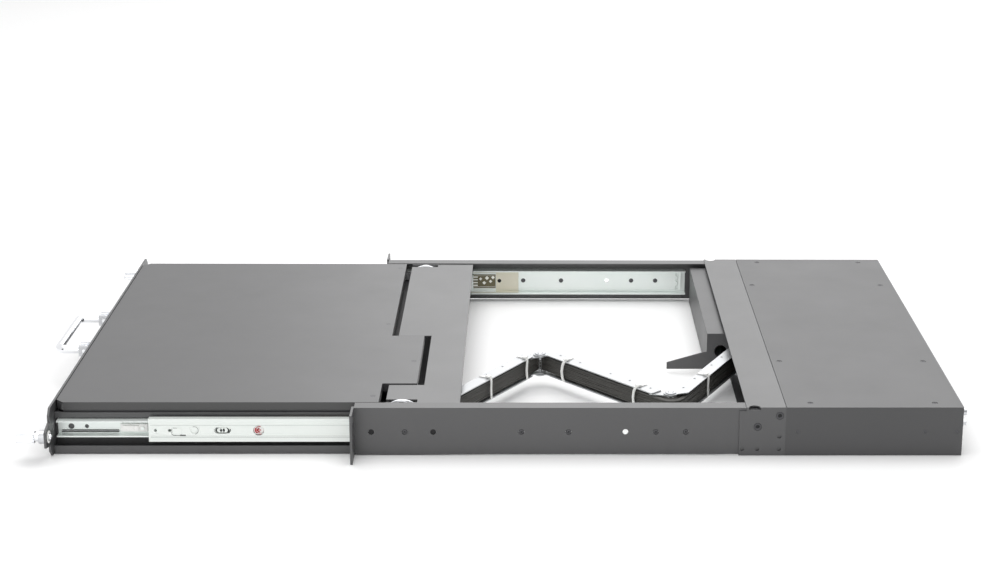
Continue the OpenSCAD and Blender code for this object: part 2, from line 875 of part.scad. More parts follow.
module front_panel() {
    px = panel_w / 2;
    z0 = panel_z0;
    z1 = panel_z0 + panel_h;
    ex = ear_span / 2;
    c = panel_chamfer;
    color([0.25, 0.25, 0.26]) from_floor() difference() {
        translate([0, panel_back, 0]) rotate([quarter, 0, 0]) linear_extrude(panel_t) union() {
            polygon([[-px + c, z0], [px - c, z0], [px, z0 + c], [px, z1 - c],
                     [px - c, z1], [-px + c, z1], [-px, z1 - c], [-px, z0 + c]]);
            for (s = [-1, 1])
                polygon([[s * (px - c), mid_z - tab_root_h / 2], [s * ex, mid_z - tab_tip_h / 2],
                         [s * ex, mid_z + tab_tip_h / 2], [s * (px - c), mid_z + tab_root_h / 2]]);
        }
        both_sides()
            bar_y(slot_span / 2, panel_front - overrun, panel_back + overrun, mid_z, bushing_bore + sheet);
    }
}

module screw_bushings() {
    color([0.6, 0.6, 0.62]) from_floor() both_sides() difference() {
        union() {
            bar_y(slot_span / 2, panel_front - bushing_len, panel_front, mid_z, bushing_r);
            bar_y(slot_span / 2, panel_front, panel_back, mid_z, bushing_bore + sheet - pin_play);
            bar_y(slot_span / 2, panel_back, panel_back + bushing_flange_t, mid_z, bushing_flange_r);
        }
        bar_y(slot_span / 2, panel_front - bushing_len - overrun,
              panel_back + bushing_flange_t + overrun, mid_z, bushing_bore);
    }
}

module thumbscrew() {
    x = slot_span / 2;
    neck_y = panel_front - bushing_len - screw_gap;
    head_y = neck_y - screw_neck_len;
    clip_y = panel_back + bushing_flange_t + clip_gap;
    color([0.82, 0.83, 0.85]) from_floor() {
        bar_y(x, neck_y, clip_y, mid_z, screw_r);
        bar_y(x, clip_y, clip_y + clip_t, mid_z, clip_r);
        bar_y(x, clip_y + clip_t, clip_y + clip_t + screw_tip, mid_z, screw_r - tip_dome / 2);
        bar_y(x, head_y, neck_y, mid_z, screw_neck_r);
        translate([x, head_y, mid_z]) rotate([quarter, 0, 0]) linear_extrude(screw_head_len) difference() {
            circle(r = screw_head_r);
            for (i = [0:groove_count - 1]) rotate(i * 360 / groove_count)
                translate([screw_head_r, 0]) circle(r = groove_r, $fn = 14);
        }
    }
}

module thumbscrew_right() {
    thumbscrew();
}

module thumbscrew_left() {
    mirror([1, 0, 0]) thumbscrew();
}

// Folding bow handle between two brackets

module handle_brackets() {
    x0 = bow_r + cheek_gap;
    color([0.70, 0.71, 0.73]) from_floor() for (s = [-1, 1])
        translate([s * bow_span / 2, 0, 0]) difference() {
            union() {
                block([-x0 - cheek_t, panel_front - foot_t, pivot_z - foot_h / 2],
                      [x0 + cheek_t, panel_front, pivot_z + foot_h / 2]);
                for (c = [-x0 - cheek_t, x0]) {
                    block([c, pivot_y - cheek_h / 2, pivot_z - cheek_h / 2],
                          [c + cheek_t, panel_front - foot_t, pivot_z + cheek_h / 2]);
                }
            }
            bar_x(-x0 - cheek_t - overrun, x0 + cheek_t + overrun, pivot_y, pivot_z, pivot_pin_r + pin_play);
        }
}

module handle_bow() {
    x = bow_span / 2;
    bar_y0 = pivot_y - bow_reach;
    color([0.85, 0.86, 0.88]) from_floor() {
        both_sides() {
            bar_y(x, bar_y0 + bow_corner, pivot_y, pivot_z, bow_r);
            translate([x, pivot_y, pivot_z]) sphere(r = bow_r);
            translate([x - bow_corner, bar_y0 + bow_corner, pivot_z]) rotate([0, 0, -quarter])
                rotate_extrude(angle = quarter) translate([bow_corner, 0]) circle(r = bow_r);
            bar_x(x - bow_r - cheek_gap - cheek_t, x + bow_r + cheek_gap + cheek_t, pivot_y, pivot_z,
                  pivot_pin_r);
        }
        bar_x(-x + bow_corner, x - bow_corner, bar_y0, pivot_z, bow_r);
    }
}

// Drawer tray: floor, two sides with an outward ledge, front and rear walls

module drawer_tray() {
    wall = tray_half - sheet;
    front = panel_back + sheet;
    color([0.25, 0.25, 0.26]) from_floor() {
        block([-pan_half, panel_back, tray_z0], [pan_half, tray_side_end, tray_z0 + sheet]);
        block([-tray_half, panel_back, tray_z0], [tray_half, front, ledge_z1 - sheet]);
        both_sides() {
            block([pan_half - sheet, panel_back, tray_z0], [pan_half, tray_side_end, pan_top]);
            block([wall, panel_back, tray_z0], [tray_half, tray_side_end, ledge_z1]);
            block([wall, panel_back, ledge_z1 - sheet], [tray_half + ledge_out, tray_side_end, ledge_z1]);
            block([tray_half + ledge_out - sheet, panel_back, ledge_z1 - ledge_lip],
                  [tray_half + ledge_out, tray_side_end, ledge_z1]);
        }
        difference() {
            block([-tray_half, tray_rear - sheet, tray_z0], [tray_half, tray_rear, frame_top + sheet]);
            both_sides() block([wall - arm_notch_w, tray_rear - sheet - overrun, frame_top - arm_notch_h],
                               [wall, tray_rear + overrun, ledge_z1]);
        }
    }
}

module hinge_cover() {
    z0 = cover_top - sheet;
    color([0.26, 0.26, 0.27]) from_floor() {
        difference() {
            block([-cover_half, cover_front, z0], [cover_half, cover_rear, cover_top]);
            block([notch_x0, cover_front - overrun, z0 - overrun],
                  [notch_x1, cover_notch_rear, cover_top + overrun]);
            both_sides() block([knuckle_slot_x0, cover_front - overrun, z0 - overrun],
                               [knuckle_slot_x1, knuckle_slot_rear, cover_top + overrun]);
        }
        both_sides() block([cover_half - sheet, cover_front, ledge_z1], [cover_half, cover_rear, z0]);
        block([-cover_half, cover_rear - sheet, z0 - cover_lip], [cover_half, cover_rear, z0]);
    }
}

// Bracket plates on the tray walls that carry the lid's pins
module hinge_brackets() {
    x1 = tray_half - sheet;
    color([0.75, 0.76, 0.78]) from_floor() both_sides() difference() {
        union() {
            block([x1 - bracket_t, hinge_y - knuckle_r, bracket_low], [x1, hinge_y + knuckle_r, hinge_z]);
            bar_x(x1 - bracket_t, x1, hinge_y, hinge_z, knuckle_r);
        }
        bar_x(x1 - bracket_t - overrun, x1 + overrun, hinge_y, hinge_z, hinge_pin_r + pin_play);
    }
}

module lid_hinge_arms() {
    color([0.75, 0.76, 0.78]) from_floor() both_sides() {
        difference() {
            union() {
                bar_x(hinge_arm_x0, hinge_arm_x1, hinge_y, hinge_z, knuckle_r);
                block([hinge_arm_x0, hinge_y - hinge_arm_len, hinge_z - knuckle_r],
                      [hinge_arm_x1, hinge_y, lid_z0]);
            }
        }
        bar_x(hinge_arm_x1, tray_half - sheet, hinge_y, hinge_z, hinge_pin_r);
    }
}

// Lid: a skin folded down on all sides, with a tongue into the cover's notch

module lid_outline() {
    polygon([[-lid_w / 2, lid_front], [lid_w / 2, lid_front], [lid_w / 2, lid_rear], [tongue_x1, lid_rear],
             [tongue_x1, tongue_rear], [tongue_x0, tongue_rear], [tongue_x0, lid_rear],
             [-lid_w / 2, lid_rear]]);
}

module lid_shell() {
    edge = lid_skin;
    color([0.27, 0.27, 0.28]) from_floor() difference() {
        union() {
            translate([0, 0, lid_z0 + bezel_t]) linear_extrude(lid_h - bezel_t) lid_outline();
            translate([0, 0, lid_z1 - edge]) linear_extrude(edge)
                polygon([[-lid_w / 2, lid_front], [lid_w / 2, lid_front],
                         [lid_w / 2 - lid_lip, lid_front - lid_lip],
                         [-lid_w / 2 + lid_lip, lid_front - lid_lip]]);
        }
        block([-lid_w / 2 + edge, lid_front + edge, lid_z0],
              [lid_w / 2 - edge, lid_rear - edge, lid_z1 - edge]);
        for (p = lid_screw_places) translate([p[0], p[1], lid_z1 - edge - overrun])
            cylinder(h = edge + 2 * overrun, r = head_hole_r);
    }
}

module lid_screws() {
    edge = lid_skin;
    color([0.20, 0.20, 0.21]) from_floor() for (p = lid_screw_places)
        translate([p[0], p[1], lid_z1 - edge]) cylinder(h = edge, r = head_r);
}

display_y0 = lid_front + display_front;

module display_panel() {
    color([0.05, 0.05, 0.06]) from_floor()
        block([-display_w / 2, display_y0, lid_z0 + bezel_t],
              [display_w / 2, display_y0 + display_d, lid_z0 + bezel_t + display_t]);
}

module display_bezel() {
    view_y0 = display_y0 + (display_d - view_d) / 2;
    color([0.10, 0.10, 0.11]) from_floor() difference() {
        translate([0, 0, lid_z0]) linear_extrude(bezel_t) lid_outline();
        block([-view_w / 2, view_y0, lid_z0 - overrun],
              [view_w / 2, view_y0 + view_d, lid_z0 + bezel_t + overrun]);
        for (i = [0:menu_count - 1])
            translate([(i - (menu_count - 1) / 2) * menu_pitch, menu_y, lid_z0 - overrun])
                cylinder(h = bezel_t + 2 * overrun, r = menu_r + menu_play);
    }
}

module menu_buttons() {
    color([0.35, 0.35, 0.36]) from_floor() for (i = [0:menu_count - 1])
        translate([(i - (menu_count - 1) / 2) * menu_pitch, menu_y, lid_z0 - menu_out])
            cylinder(h = menu_out + bezel_t + menu_head, r = menu_r);
}

// Keyboard

function before(v, i) = i <= 0 ? 0 : v[i - 1] + before(v, i - 1);

function row_y(row) = field_rear - (row + 1 / 2) * key_pitch - (row > 0 ? row_gap : 0);

main_keys = [for (r = [0:len(key_width_shares) - 1]) for (i = [0:len(key_width_shares[r]) - 1])
    if (key_width_shares[r][i] > 0 && !(r == space_row && i == space_index))
        [field_x0 + (before(key_width_shares[r], i) + key_width_shares[r][i] / 2) * key_pitch, row_y(r),
         key_width_shares[r][i] * key_pitch]];
space_share = key_width_shares[space_row][space_index];
space_before = before(key_width_shares[space_row], space_index);
space_key = [field_x0 + (space_before + space_share / 2) * key_pitch, row_y(space_row),
    space_share * key_pitch];
pad_keys = [for (r = [0:len(key_width_shares) - 1]) for (i = [0:pad_units - 1])
    [field_x0 + (main_units + block_units + i + 1 / 2) * key_pitch, row_y(r), key_pitch]];

module key_holes(keys) {
    for (k = keys)
        block([k[0] - k[2] / 2 + key_gap / 2 - key_play, k[1] - key_pitch / 2 + key_gap / 2 - key_play,
               frame_top - frame_t - overrun],
              [k[0] + k[2] / 2 - key_gap / 2 + key_play, k[1] + key_pitch / 2 - key_gap / 2 + key_play,
               frame_top + overrun]);
}

module caps(keys) {
    d = key_pitch - key_gap;
    for (k = keys) {
        w = k[2] - key_gap;
        translate([k[0], k[1], key_base]) linear_extrude(frame_top - key_base)
            square([w, d], center = true);
        translate([k[0], k[1], frame_top])
            linear_extrude(key_top - frame_top, slices = 1,
                           scale = [(w - key_draft) / w, (d - key_draft) / d])
                square([w, d], center = true);
    }
}

pad_x0 = -pad_w / 2;
pad_y0 = pad_front;
button_y0 = pad_front - pad_button_gap - pad_button_d;
button_low = frame_top - pad_button_drop;

module keyboard_frame() {
    p = pad_recess_play;
    color([0.12, 0.12, 0.13]) from_floor() {
        difference() {
            block([-frame_half, frame_front, tray_z0 + sheet], [frame_half, frame_rear, frame_top]);
            block([-frame_half + frame_t, frame_front + frame_t, tray_z0],
                  [frame_half - frame_t, frame_rear - frame_t, frame_top - frame_t]);
            key_holes(main_keys);
            key_holes([space_key]);
            key_holes(pad_keys);
            block([pad_x0 - p, pad_y0 - p, frame_top - pad_t],
                  [-pad_x0 + p, pad_y0 + pad_d + p, frame_top + overrun]);
            for (x = [pad_x0, pad_button_gap / 2])
                block([x - p, button_y0 - p, frame_top - frame_t - overrun],
                      [x + pad_w / 2 - pad_button_gap / 2 + p, button_y0 + pad_button_d + p,
                       frame_top + overrun]);
        }
        for (sx = [-1, 1]) translate([sx * (frame_half - bumper_in), frame_front + bumper_in, frame_top])
            cylinder(h = lid_z0 - bumper_gap - frame_top, r = bumper_r);
    }
}

module letter_keys() {
    color([0.16, 0.16, 0.17]) from_floor() caps(main_keys);
}

module space_bar() {
    color([0.16, 0.16, 0.17]) from_floor() caps([space_key]);
}

module number_pad_keys() {
    color([0.16, 0.16, 0.17]) from_floor() caps(pad_keys);
}

module touchpad() {
    color([0.22, 0.22, 0.23]) from_floor()
        block([pad_x0, pad_y0, frame_top - pad_t], [-pad_x0, pad_y0 + pad_d, frame_top - pad_t / 3]);
}

module touch_button(x) {
    color([0.20, 0.20, 0.21]) from_floor()
        block([x, button_y0, button_low], [x + pad_w / 2 - pad_button_gap / 2, button_y0 + pad_button_d,
                                           frame_top + pad_t / 3]);
}

module touch_button_left() {
    touch_button(pad_x0);
}

module touch_button_right() {
    touch_button(pad_button_gap / 2);
}

// Cable arm: three channels that fold side by side between the drawer and the base.
// travel is how far the drawer has come out of the rack.

function along(a) = [cos(a), sin(a)];
function across(a) = [-sin(a), cos(a)];
function rear_turn(travel) = -rear_swing * travel / full_travel;
function middle_turn(travel) = half_turn + middle_start + middle_swing * travel / full_travel;
function front_turn(travel) = -front_start - front_swing * travel / full_travel;

// Pivots sit beside the links' centre lines, on the inner side of each fold
function rear_fold(travel) = rear_pivot + rear_link * along(rear_turn(travel))
    - fold_offset * across(rear_turn(travel));
function middle_foot(travel) = rear_fold(travel) + fold_offset * across(middle_turn(travel));
function front_fold(travel) = middle_foot(travel) + middle_link * along(middle_turn(travel))
    + fold_offset * across(middle_turn(travel));
function front_foot(travel) = front_fold(travel) - fold_offset * across(front_turn(travel));
function arm_end(travel) = front_foot(travel) + front_link * along(front_turn(travel));

// Where the arm's front pin stands on the drawer, as drawn
function end_on_drawer(travel) = arm_end(travel) + [0, travel - drawer_out];

end_path = [for (i = [0:12]) end_on_drawer(i / 12 * full_travel)];
path_x0 = min([for (p = end_path) p[0]]);
path_x1 = max([for (p = end_path) p[0]]);
path_y0 = min([for (p = end_path) p[1]]);
path_y1 = max([for (p = end_path) p[1]]);

// Plate on the drawer with the slot that the arm's front pin runs in
module arm_anchor() {
    wall = tray_half - sheet;
    play = anchor_pin_r + anchor_slack;
    color([0.24, 0.24, 0.25]) from_floor() {
        difference() {
            block([path_x0 - anchor_reach, path_y0 - play - anchor_edge, anchor_z],
                  [wall, path_y1 + play + anchor_tail, anchor_z + sheet]);
            translate([(path_x0 + path_x1) / 2, (path_y0 + path_y1) / 2, anchor_z - overrun])
                rotate([0, 0, quarter]) linear_extrude(sheet + 2 * overrun)
                    slot_2d(path_y1 - path_y0 + 2 * play, (path_x1 - path_x0) / 2 + play);
        }
        block([wall - bracket_t, anchor_wall_y0, anchor_z],
              [wall, tray_side_end, anchor_z + anchor_wall_h / 2]);
    }
}

// A link drawn along +X from its start foot. A side is where that end's pivot lies, in
// units of the fold offset: 0 on the centre line. The web is on the -Y side.
module link(len, start_side, start_inner, end_side, end_inner) {
    x0 = start_inner ? inner_cut : outer_cut;
    x1 = len - (end_inner ? inner_cut : outer_cut);
    difference() {
        union() {
            block([x0, -link_w / 2, link_z0], [x1, link_t - link_w / 2, link_z1]);
            for (z = [link_z0, link_z1 - link_t]) block([x0, -link_w / 2, z], [x1, link_w / 2, z + link_t]);
            link_end(start_side, start_inner);
            translate([len, 0, 0]) mirror([1, 0, 0]) link_end(end_side, end_inner);
        }
        if (start_inner) rivet_bore(start_side * fold_offset, rivet_r);
        if (start_side == 0) rivet_bore(0, post_r_rear);
    }
}

module rivet_bore(y, r) {
    translate([0, y, link_z0 - overrun]) cylinder(h = link_h + 2 * overrun, r = r + pin_play);
}

// The two lobes of one end, seen with its foot at zero and the link towards +X. Inner lobes
// sit just inside the other link's lobes and reach back along the web.
module link_end(side, inner) {
    r = inner ? inner_lobe_r : lobe_r;
    step = inner ? link_t + lobe_step : 0;
    edge = inner ? inner_cut : outer_cut;
    back = inner ? edge + lobe_back : edge;
    half = link_w / 2;
    m = side == 0 ? 1 : side;
    mid = m * side * fold_offset;
    for (z = [link_z0 + step, link_z1 - link_t - step])
        translate([0, 0, z]) linear_extrude(link_t) union() {
            translate([0, side * fold_offset]) circle(r = r);
            polygon([[back, -m * half], [back, m * half], [edge, m * half],
                     [0, m * (mid + r)], [0, m * (mid - r)]]);
        }
}

module place_link(foot, turn) {
    translate([foot[0], foot[1], 0]) rotate([0, 0, turn]) children();
}

module rivet(p) {
    translate([p[0], p[1], link_z0 - rivet_head_t]) cylinder(h = link_h + 2 * rivet_head_t, r = rivet_r);
    for (z = [link_z0 - rivet_head_t, link_z1])
        translate([p[0], p[1], z]) cylinder(h = rivet_head_t, r = rivet_head_r);
}

out = drawer_out;

module arm_link_rear() {
    color([0.80, 0.81, 0.82]) from_floor() {
        place_link(rear_pivot, rear_turn(out)) link(rear_link, 0, false, -1, false);
        rivet(rear_fold(out));
    }
}

module arm_link_middle() {
    color([0.80, 0.81, 0.82]) from_floor() {
        place_link(middle_foot(out), middle_turn(out)) link(middle_link, -1, true, 1, false);
        rivet(front_fold(out));
    }
}

module arm_link_front() {
    end = arm_end(out);
    color([0.80, 0.81, 0.82]) from_floor() {
        place_link(front_foot(out), front_turn(out)) link(front_link, 1, true, 0, false);
        translate([end[0], end[1], anchor_z - sheet])
            cylinder(h = link_z0 + link_t - anchor_z + sheet, r = anchor_pin_r);
    }
}

// Cables: two columns of three lie in each channel and bend round the rivets

cable_rows = [for (i = [-1:1]) (link_z0 + link_z1) / 2 + i * cable_step];
cable_columns = [cable_shift - cable_step, cable_shift];

module cables(x0, x1) {
    for (z = cable_rows) for (y = cable_columns) bar_x(x0, x1, y, z, cable_r);
}

module cable_bend(centre, start, angle, radii) {
    translate([centre[0], centre[1], 0]) rotate([0, 0, start]) for (z = cable_rows) for (r = radii)
        translate([0, 0, z]) rotate_extrude(angle = angle) translate([r, 0]) circle(r = cable_r, $fn = 24);
}

module arm_cable_rear() {
    color([0.10, 0.10, 0.11]) from_floor()
        place_link(rear_pivot, rear_turn(out)) cables(tail_in, rear_link);
}

module arm_cable_middle() {
    color([0.10, 0.10, 0.11]) from_floor()
        place_link(middle_foot(out), middle_turn(out)) cables(0, middle_link);
}

module arm_cable_front() {
    color([0.10, 0.10, 0.11]) from_floor()
        place_link(front_foot(out), front_turn(out)) cables(0, front_link);
}

module cable_loop_rear() {
    start = middle_turn(out) - half_turn - quarter;
    color([0.10, 0.10, 0.11]) from_floor()
        cable_bend(rear_fold(out), start, quarter + rear_turn(out) - start,
                   [for (y = cable_columns) fold_offset + y]);
}

module cable_loop_front() {
    start = middle_turn(out) - quarter;
    color([0.10, 0.10, 0.11]) from_floor()
        cable_bend(front_fold(out), start, half_turn + quarter + front_turn(out) - start,
                   [for (y = cable_columns) fold_offset - y]);
}

// The cables leave the rear channel by its open side and turn into the switch box's front wall
module cable_tail() {
    turn = rear_turn(out);
    centre = rear_pivot + tail_in * along(turn) + (cable_shift + tail_bend) * across(turn);
    color([0.10, 0.10, 0.11]) from_floor() {
        cable_bend(centre, half_turn, quarter + turn,
                   [for (y = cable_columns) tail_bend + cable_shift - y]);
        for (z = cable_rows) for (y = cable_columns)
            bar_y(centre[0] - tail_bend - cable_shift + y, centre[1], box_front, z, cable_r);
    }
}

module ties(shares, len) {
    y = link_w / 2 + tie_gap;
    z0 = link_z0 - tie_gap;
    z1 = link_z1 + tie_gap;
    for (s = shares) translate([s * len - tie_w / 2, 0, 0]) {
        difference() {
            block([0, -y - tie_t, z0 - tie_t], [tie_w, y + tie_t, z1 + tie_t]);
            block([-overrun, -y, z0], [tie_w + overrun, y, z1]);
        }
        block([-(tie_head - tie_w) / 2, y - tie_head, z1 + tie_t],
              [(tie_head + tie_w) / 2, y, z1 + tie_t + tie_head / 2]);
    }
}

module cable_ties_rear() {
    color([0.95, 0.95, 0.93]) from_floor()
        place_link(rear_pivot, rear_turn(out)) ties(tie_shares_rear, rear_link);
}

module cable_ties_middle() {
    color([0.95, 0.95, 0.93]) from_floor()
        place_link(middle_foot(out), middle_turn(out)) ties(tie_shares_middle, middle_link);
}

module cable_ties_front() {
    color([0.95, 0.95, 0.93]) from_floor()
        place_link(front_foot(out), front_turn(out)) ties(tie_shares_front, front_link);
}

rail_right();
rail_left();
slide_outer_right();
slide_outer_left();
rear_bridge();
switch_chassis();
switch_cover();
switch_board();
rear_ports();
shelf_housing();
frame_screws();
arm_post();
front_panel();
drawer_tray();
hinge_cover();
slide_inner_right();
slide_inner_left();
hinge_brackets();
keyboard_frame();
touchpad();
arm_anchor();
handle_brackets();
screw_bushings();
letter_keys();
space_bar();
number_pad_keys();
touch_button_left();
touch_button_right();
lid_shell();
display_panel();
display_bezel();
lid_hinge_arms();
lid_screws();
menu_buttons();
slide_mid_right();
slide_mid_left();
ball_cage_right();
ball_cage_left();
inner_cage_right();
inner_cage_left();
release_lever_right();
release_lever_left();
slide_latch_right();
slide_latch_left();
arm_link_rear();
arm_link_middle();
arm_link_front();
arm_cable_rear();
arm_cable_middle();
arm_cable_front();
cable_ties_rear();
cable_ties_middle();
cable_ties_front();
cable_tail();
cable_loop_rear();
cable_loop_front();
handle_bow();
thumbscrew_right();
thumbscrew_left();
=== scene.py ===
# Looks for the rackmount console drawer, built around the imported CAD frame.
import json
import math
import bpy
import bmesh
from mathutils import Matrix, Vector


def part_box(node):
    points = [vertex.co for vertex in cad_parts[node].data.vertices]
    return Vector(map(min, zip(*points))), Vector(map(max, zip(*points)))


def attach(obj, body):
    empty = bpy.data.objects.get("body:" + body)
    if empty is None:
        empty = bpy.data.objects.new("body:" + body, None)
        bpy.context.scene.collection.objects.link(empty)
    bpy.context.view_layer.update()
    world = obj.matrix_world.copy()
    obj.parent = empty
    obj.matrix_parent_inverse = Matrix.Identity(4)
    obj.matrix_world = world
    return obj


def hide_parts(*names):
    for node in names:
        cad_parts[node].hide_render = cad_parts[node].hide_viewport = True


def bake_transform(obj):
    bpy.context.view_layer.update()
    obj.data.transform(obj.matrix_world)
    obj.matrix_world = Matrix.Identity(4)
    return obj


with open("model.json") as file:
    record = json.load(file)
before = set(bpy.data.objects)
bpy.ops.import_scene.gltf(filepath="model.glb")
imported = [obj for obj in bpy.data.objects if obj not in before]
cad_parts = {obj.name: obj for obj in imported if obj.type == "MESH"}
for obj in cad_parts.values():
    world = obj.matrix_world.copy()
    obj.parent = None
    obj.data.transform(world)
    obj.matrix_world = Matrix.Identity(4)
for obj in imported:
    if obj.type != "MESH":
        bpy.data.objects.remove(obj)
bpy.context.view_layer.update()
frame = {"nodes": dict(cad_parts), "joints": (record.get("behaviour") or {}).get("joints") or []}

MM = 0.001
MID = 22.0


def mm(x, y, z):
    """A point in metres from millimetres, with its height measured from the floor."""
    return Vector((x * MM, y * MM, (z - MID) * MM))


# Camera, from a fit on the photo's corners

PITCH, YAW, ROLL = math.radians(15.42), math.radians(-1.3625), math.radians(0.485)
CAMERA_POINT = (1814.3, 151.3, 653.05)
LENS_MM, SENSOR_MM = 71.56, 36
SHIFT_X, SHIFT_Y = -0.07476, -0.07767


def make_camera():
    """Places the camera by its turn, tilt and roll and points the scene at it."""
    data = bpy.data.cameras.new("camera")
    cam = bpy.data.objects.new("camera", data)
    bpy.context.scene.collection.objects.link(cam)
    turn = Matrix.Rotation(YAW, 3, "Z")
    right = turn @ Vector((0, 1, 0))
    ahead = turn @ Vector((-1, 0, 0))
    up = Vector((0, 0, 1))
    look = math.cos(PITCH) * ahead - math.sin(PITCH) * up
    rise = math.sin(PITCH) * ahead + math.cos(PITCH) * up
    side = math.cos(ROLL) * right + math.sin(ROLL) * rise
    top = math.cos(ROLL) * rise - math.sin(ROLL) * right
    place = Matrix((side, top, -look)).transposed().to_4x4()
    place.translation = mm(*CAMERA_POINT)
    cam.matrix_world = place
    data.sensor_width = SENSOR_MM
    data.lens = LENS_MM
    data.shift_x = SHIFT_X
    data.shift_y = SHIFT_Y
    data.clip_end = 50
    bpy.context.scene.camera = cam


def link_object(name, data):
    """Makes an object of its data and puts it in the scene."""
    piece = bpy.data.objects.new(name, data)
    bpy.context.scene.collection.objects.link(piece)
    return piece


# Shader maths

class Sock:
    """A socket or number in a node tree, so that masks are written as sums and products."""

    def __init__(self, tree, value):
        self.tree = tree
        self.value = value

    def op(self, operation, *others, clamp=False):
        node = self.tree.nodes.new("ShaderNodeMath")
        node.operation = operation
        node.use_clamp = clamp
        terms = [self.value] + [o.value if isinstance(o, Sock) else o for o in others]
        for entry, term in zip(node.inputs, terms):
            if isinstance(term, bpy.types.NodeSocket):
                self.tree.links.new(term, entry)
            else:
                entry.default_value = term
        return Sock(self.tree, node.outputs[0])

    def __add__(self, o):
        return self.op("ADD", o)

    __radd__ = __add__

    def __mul__(self, o):
        return self.op("MULTIPLY", o)

    __rmul__ = __mul__

    def __sub__(self, o):
        return self.op("SUBTRACT", o)

    def above(self, o):
        return self.op("GREATER_THAN", o)

    def below(self, o):
        return self.op("LESS_THAN", o)

    def clamped(self):
        return self.op("ADD", 0.0, clamp=True)


class Finish:
    """A material being built: one Principled shader and the nodes that feed it."""

    def __init__(self, name, rough=0.5, metal=0.0, coat=0.0, specular=0.5):
        self.material = bpy.data.materials.new(name)
        self.material.use_nodes = True
        self.tree = self.material.node_tree
        self.shader = self.tree.nodes["Principled BSDF"]
        self.shader.inputs["Roughness"].default_value = rough
        self.shader.inputs["Metallic"].default_value = metal
        self.shader.inputs["Coat Weight"].default_value = coat
        self.shader.inputs["Specular IOR Level"].default_value = specular
        self.place = self.node("TexCoord").outputs["Object"]

    def node(self, kind, settings=None, **inputs):
        made = self.tree.nodes.new("ShaderNode" + kind)
        for key, value in (settings or {}).items():
            setattr(made, key, value)
        for key, value in inputs.items():
            entry = made.inputs[key.replace("_", " ")]
            value = value.value if isinstance(value, Sock) else value
            if isinstance(value, bpy.types.NodeSocket):
                self.tree.links.new(value, entry)
            else:
                entry.default_value = value
        return made

    def noise(self, scale, detail=2.0, rough=0.5, stretch=(1, 1, 1)):
        where = self.node("Mapping", Vector=self.place, Scale=stretch).outputs[0]
        made = self.node("TexNoise", Vector=where, Scale=scale, Detail=detail, Roughness=rough)
        return Sock(self.tree, made.outputs[0])

    def axis(self, name):
        parts = self.node("SeparateXYZ", Vector=self.place)
        return Sock(self.tree, parts.outputs[name])

    def mix(self, factor, first, second):
        made = self.node("Mix", {"data_type": "RGBA"})
        for number, value in ((0, factor), (6, first), (7, second)):
            value = value.value if isinstance(value, Sock) else value
            if isinstance(value, bpy.types.NodeSocket):
                self.tree.links.new(value, made.inputs[number])
            else:
                made.inputs[number].default_value = value if number == 0 else (*value, 1)
        return made.outputs[2]

    def colour(self, socket):
        self.tree.links.new(socket, self.shader.inputs["Base Color"])

    def feed(self, name, value):
        self.tree.links.new(value.value, self.shader.inputs[name])

    def bump(self, height, strength, distance):
        made = self.node("Bump", Height=height, Strength=strength, Distance=distance)
        self.tree.links.new(made.outputs[0], self.shader.inputs["Normal"])


def powder_coat(name, tone, rough, specular=1.0, side=None):
    """Satin powder coat with fine orange peel; past the distance side from the middle it is painted darker,
    as shade.
    """
    f = Finish(name, rough=rough, specular=specular)
    cloud = f.noise(9, 3)
    grain = f.noise(2600, 2)
    dark = tuple(c * 0.86 for c in tone)
    light = tuple(c * 1.14 for c in tone)
    tint = f.mix((cloud * 0.7 + grain * 0.3).clamped(), dark, light)
    # Painted shade: past side from the middle, the coat drops to 0.3 of its tone
    if side:
        across = f.axis("X")
        tint = f.mix((across * across).above(side * side), tint, tuple(c * 0.3 for c in tone))
    f.colour(tint)
    f.feed("Roughness", rough - 0.05 + f.noise(24, 3) * 0.08 + grain * 0.03)
    f.bump(grain + f.noise(700, 2) * 1.5, 0.10, 0.00005)
    return f.material


def zinc(name, tone, tint):
    """Bright zinc with a faint greenish passivation and rolled streaks along the slide."""
    f = Finish(name, rough=0.3, metal=0.4)
    streak = f.noise(900, 2, stretch=(1, 0.01, 1))
    cloud = f.noise(26, 3, stretch=(1, 0.35, 1))
    f.colour(f.mix((cloud * 1.6 - 0.3).clamped(), tone, tint))
    f.feed("Roughness", 0.22 + streak * 0.14 + cloud * 0.08)
    f.bump(streak, 0.10, 0.00003)
    return f.material


def steel(name, tone, rough):
    """Brushed steel with streaks along its height."""
    f = Finish(name, rough=rough, metal=0.85)
    streak = f.noise(1300, 2, stretch=(1, 1, 0.02))
    cloud = f.noise(60, 3)
    f.colour(f.mix(cloud, tuple(c * 0.9 for c in tone), tone))
    f.feed("Roughness", rough - 0.06 + streak * 0.14)
    f.bump(streak, 0.12, 0.00003)
    return f.material


def chrome(name):
    """Bright plating with a faint ripple."""
    f = Finish(name, rough=0.06, metal=1.0)
    cloud = f.noise(180, 3)
    f.colour(f.mix(cloud, (0.80, 0.81, 0.83), (0.90, 0.91, 0.93)))
    f.feed("Roughness", 0.04 + cloud * 0.05)
    f.bump(f.noise(420, 2), 0.04, 0.00002)
    return f.material


def plastic(name, tone, rough=0.45, grain_scale=2200, grain=0.2, change=0.08):
    """Moulded plastic with a fine spark-eroded grain."""
    f = Finish(name, rough=rough, specular=0.45)
    fine = f.noise(grain_scale, 2)
    cloud = f.noise(30, 2)
    f.colour(f.mix(cloud, tuple(c * (1 - change) for c in tone), tuple(c * (1 + change) for c in tone)))
    f.feed("Roughness", rough - 0.05 + fine * 0.1)
    f.bump(fine, grain, 0.00004)
    return f.material


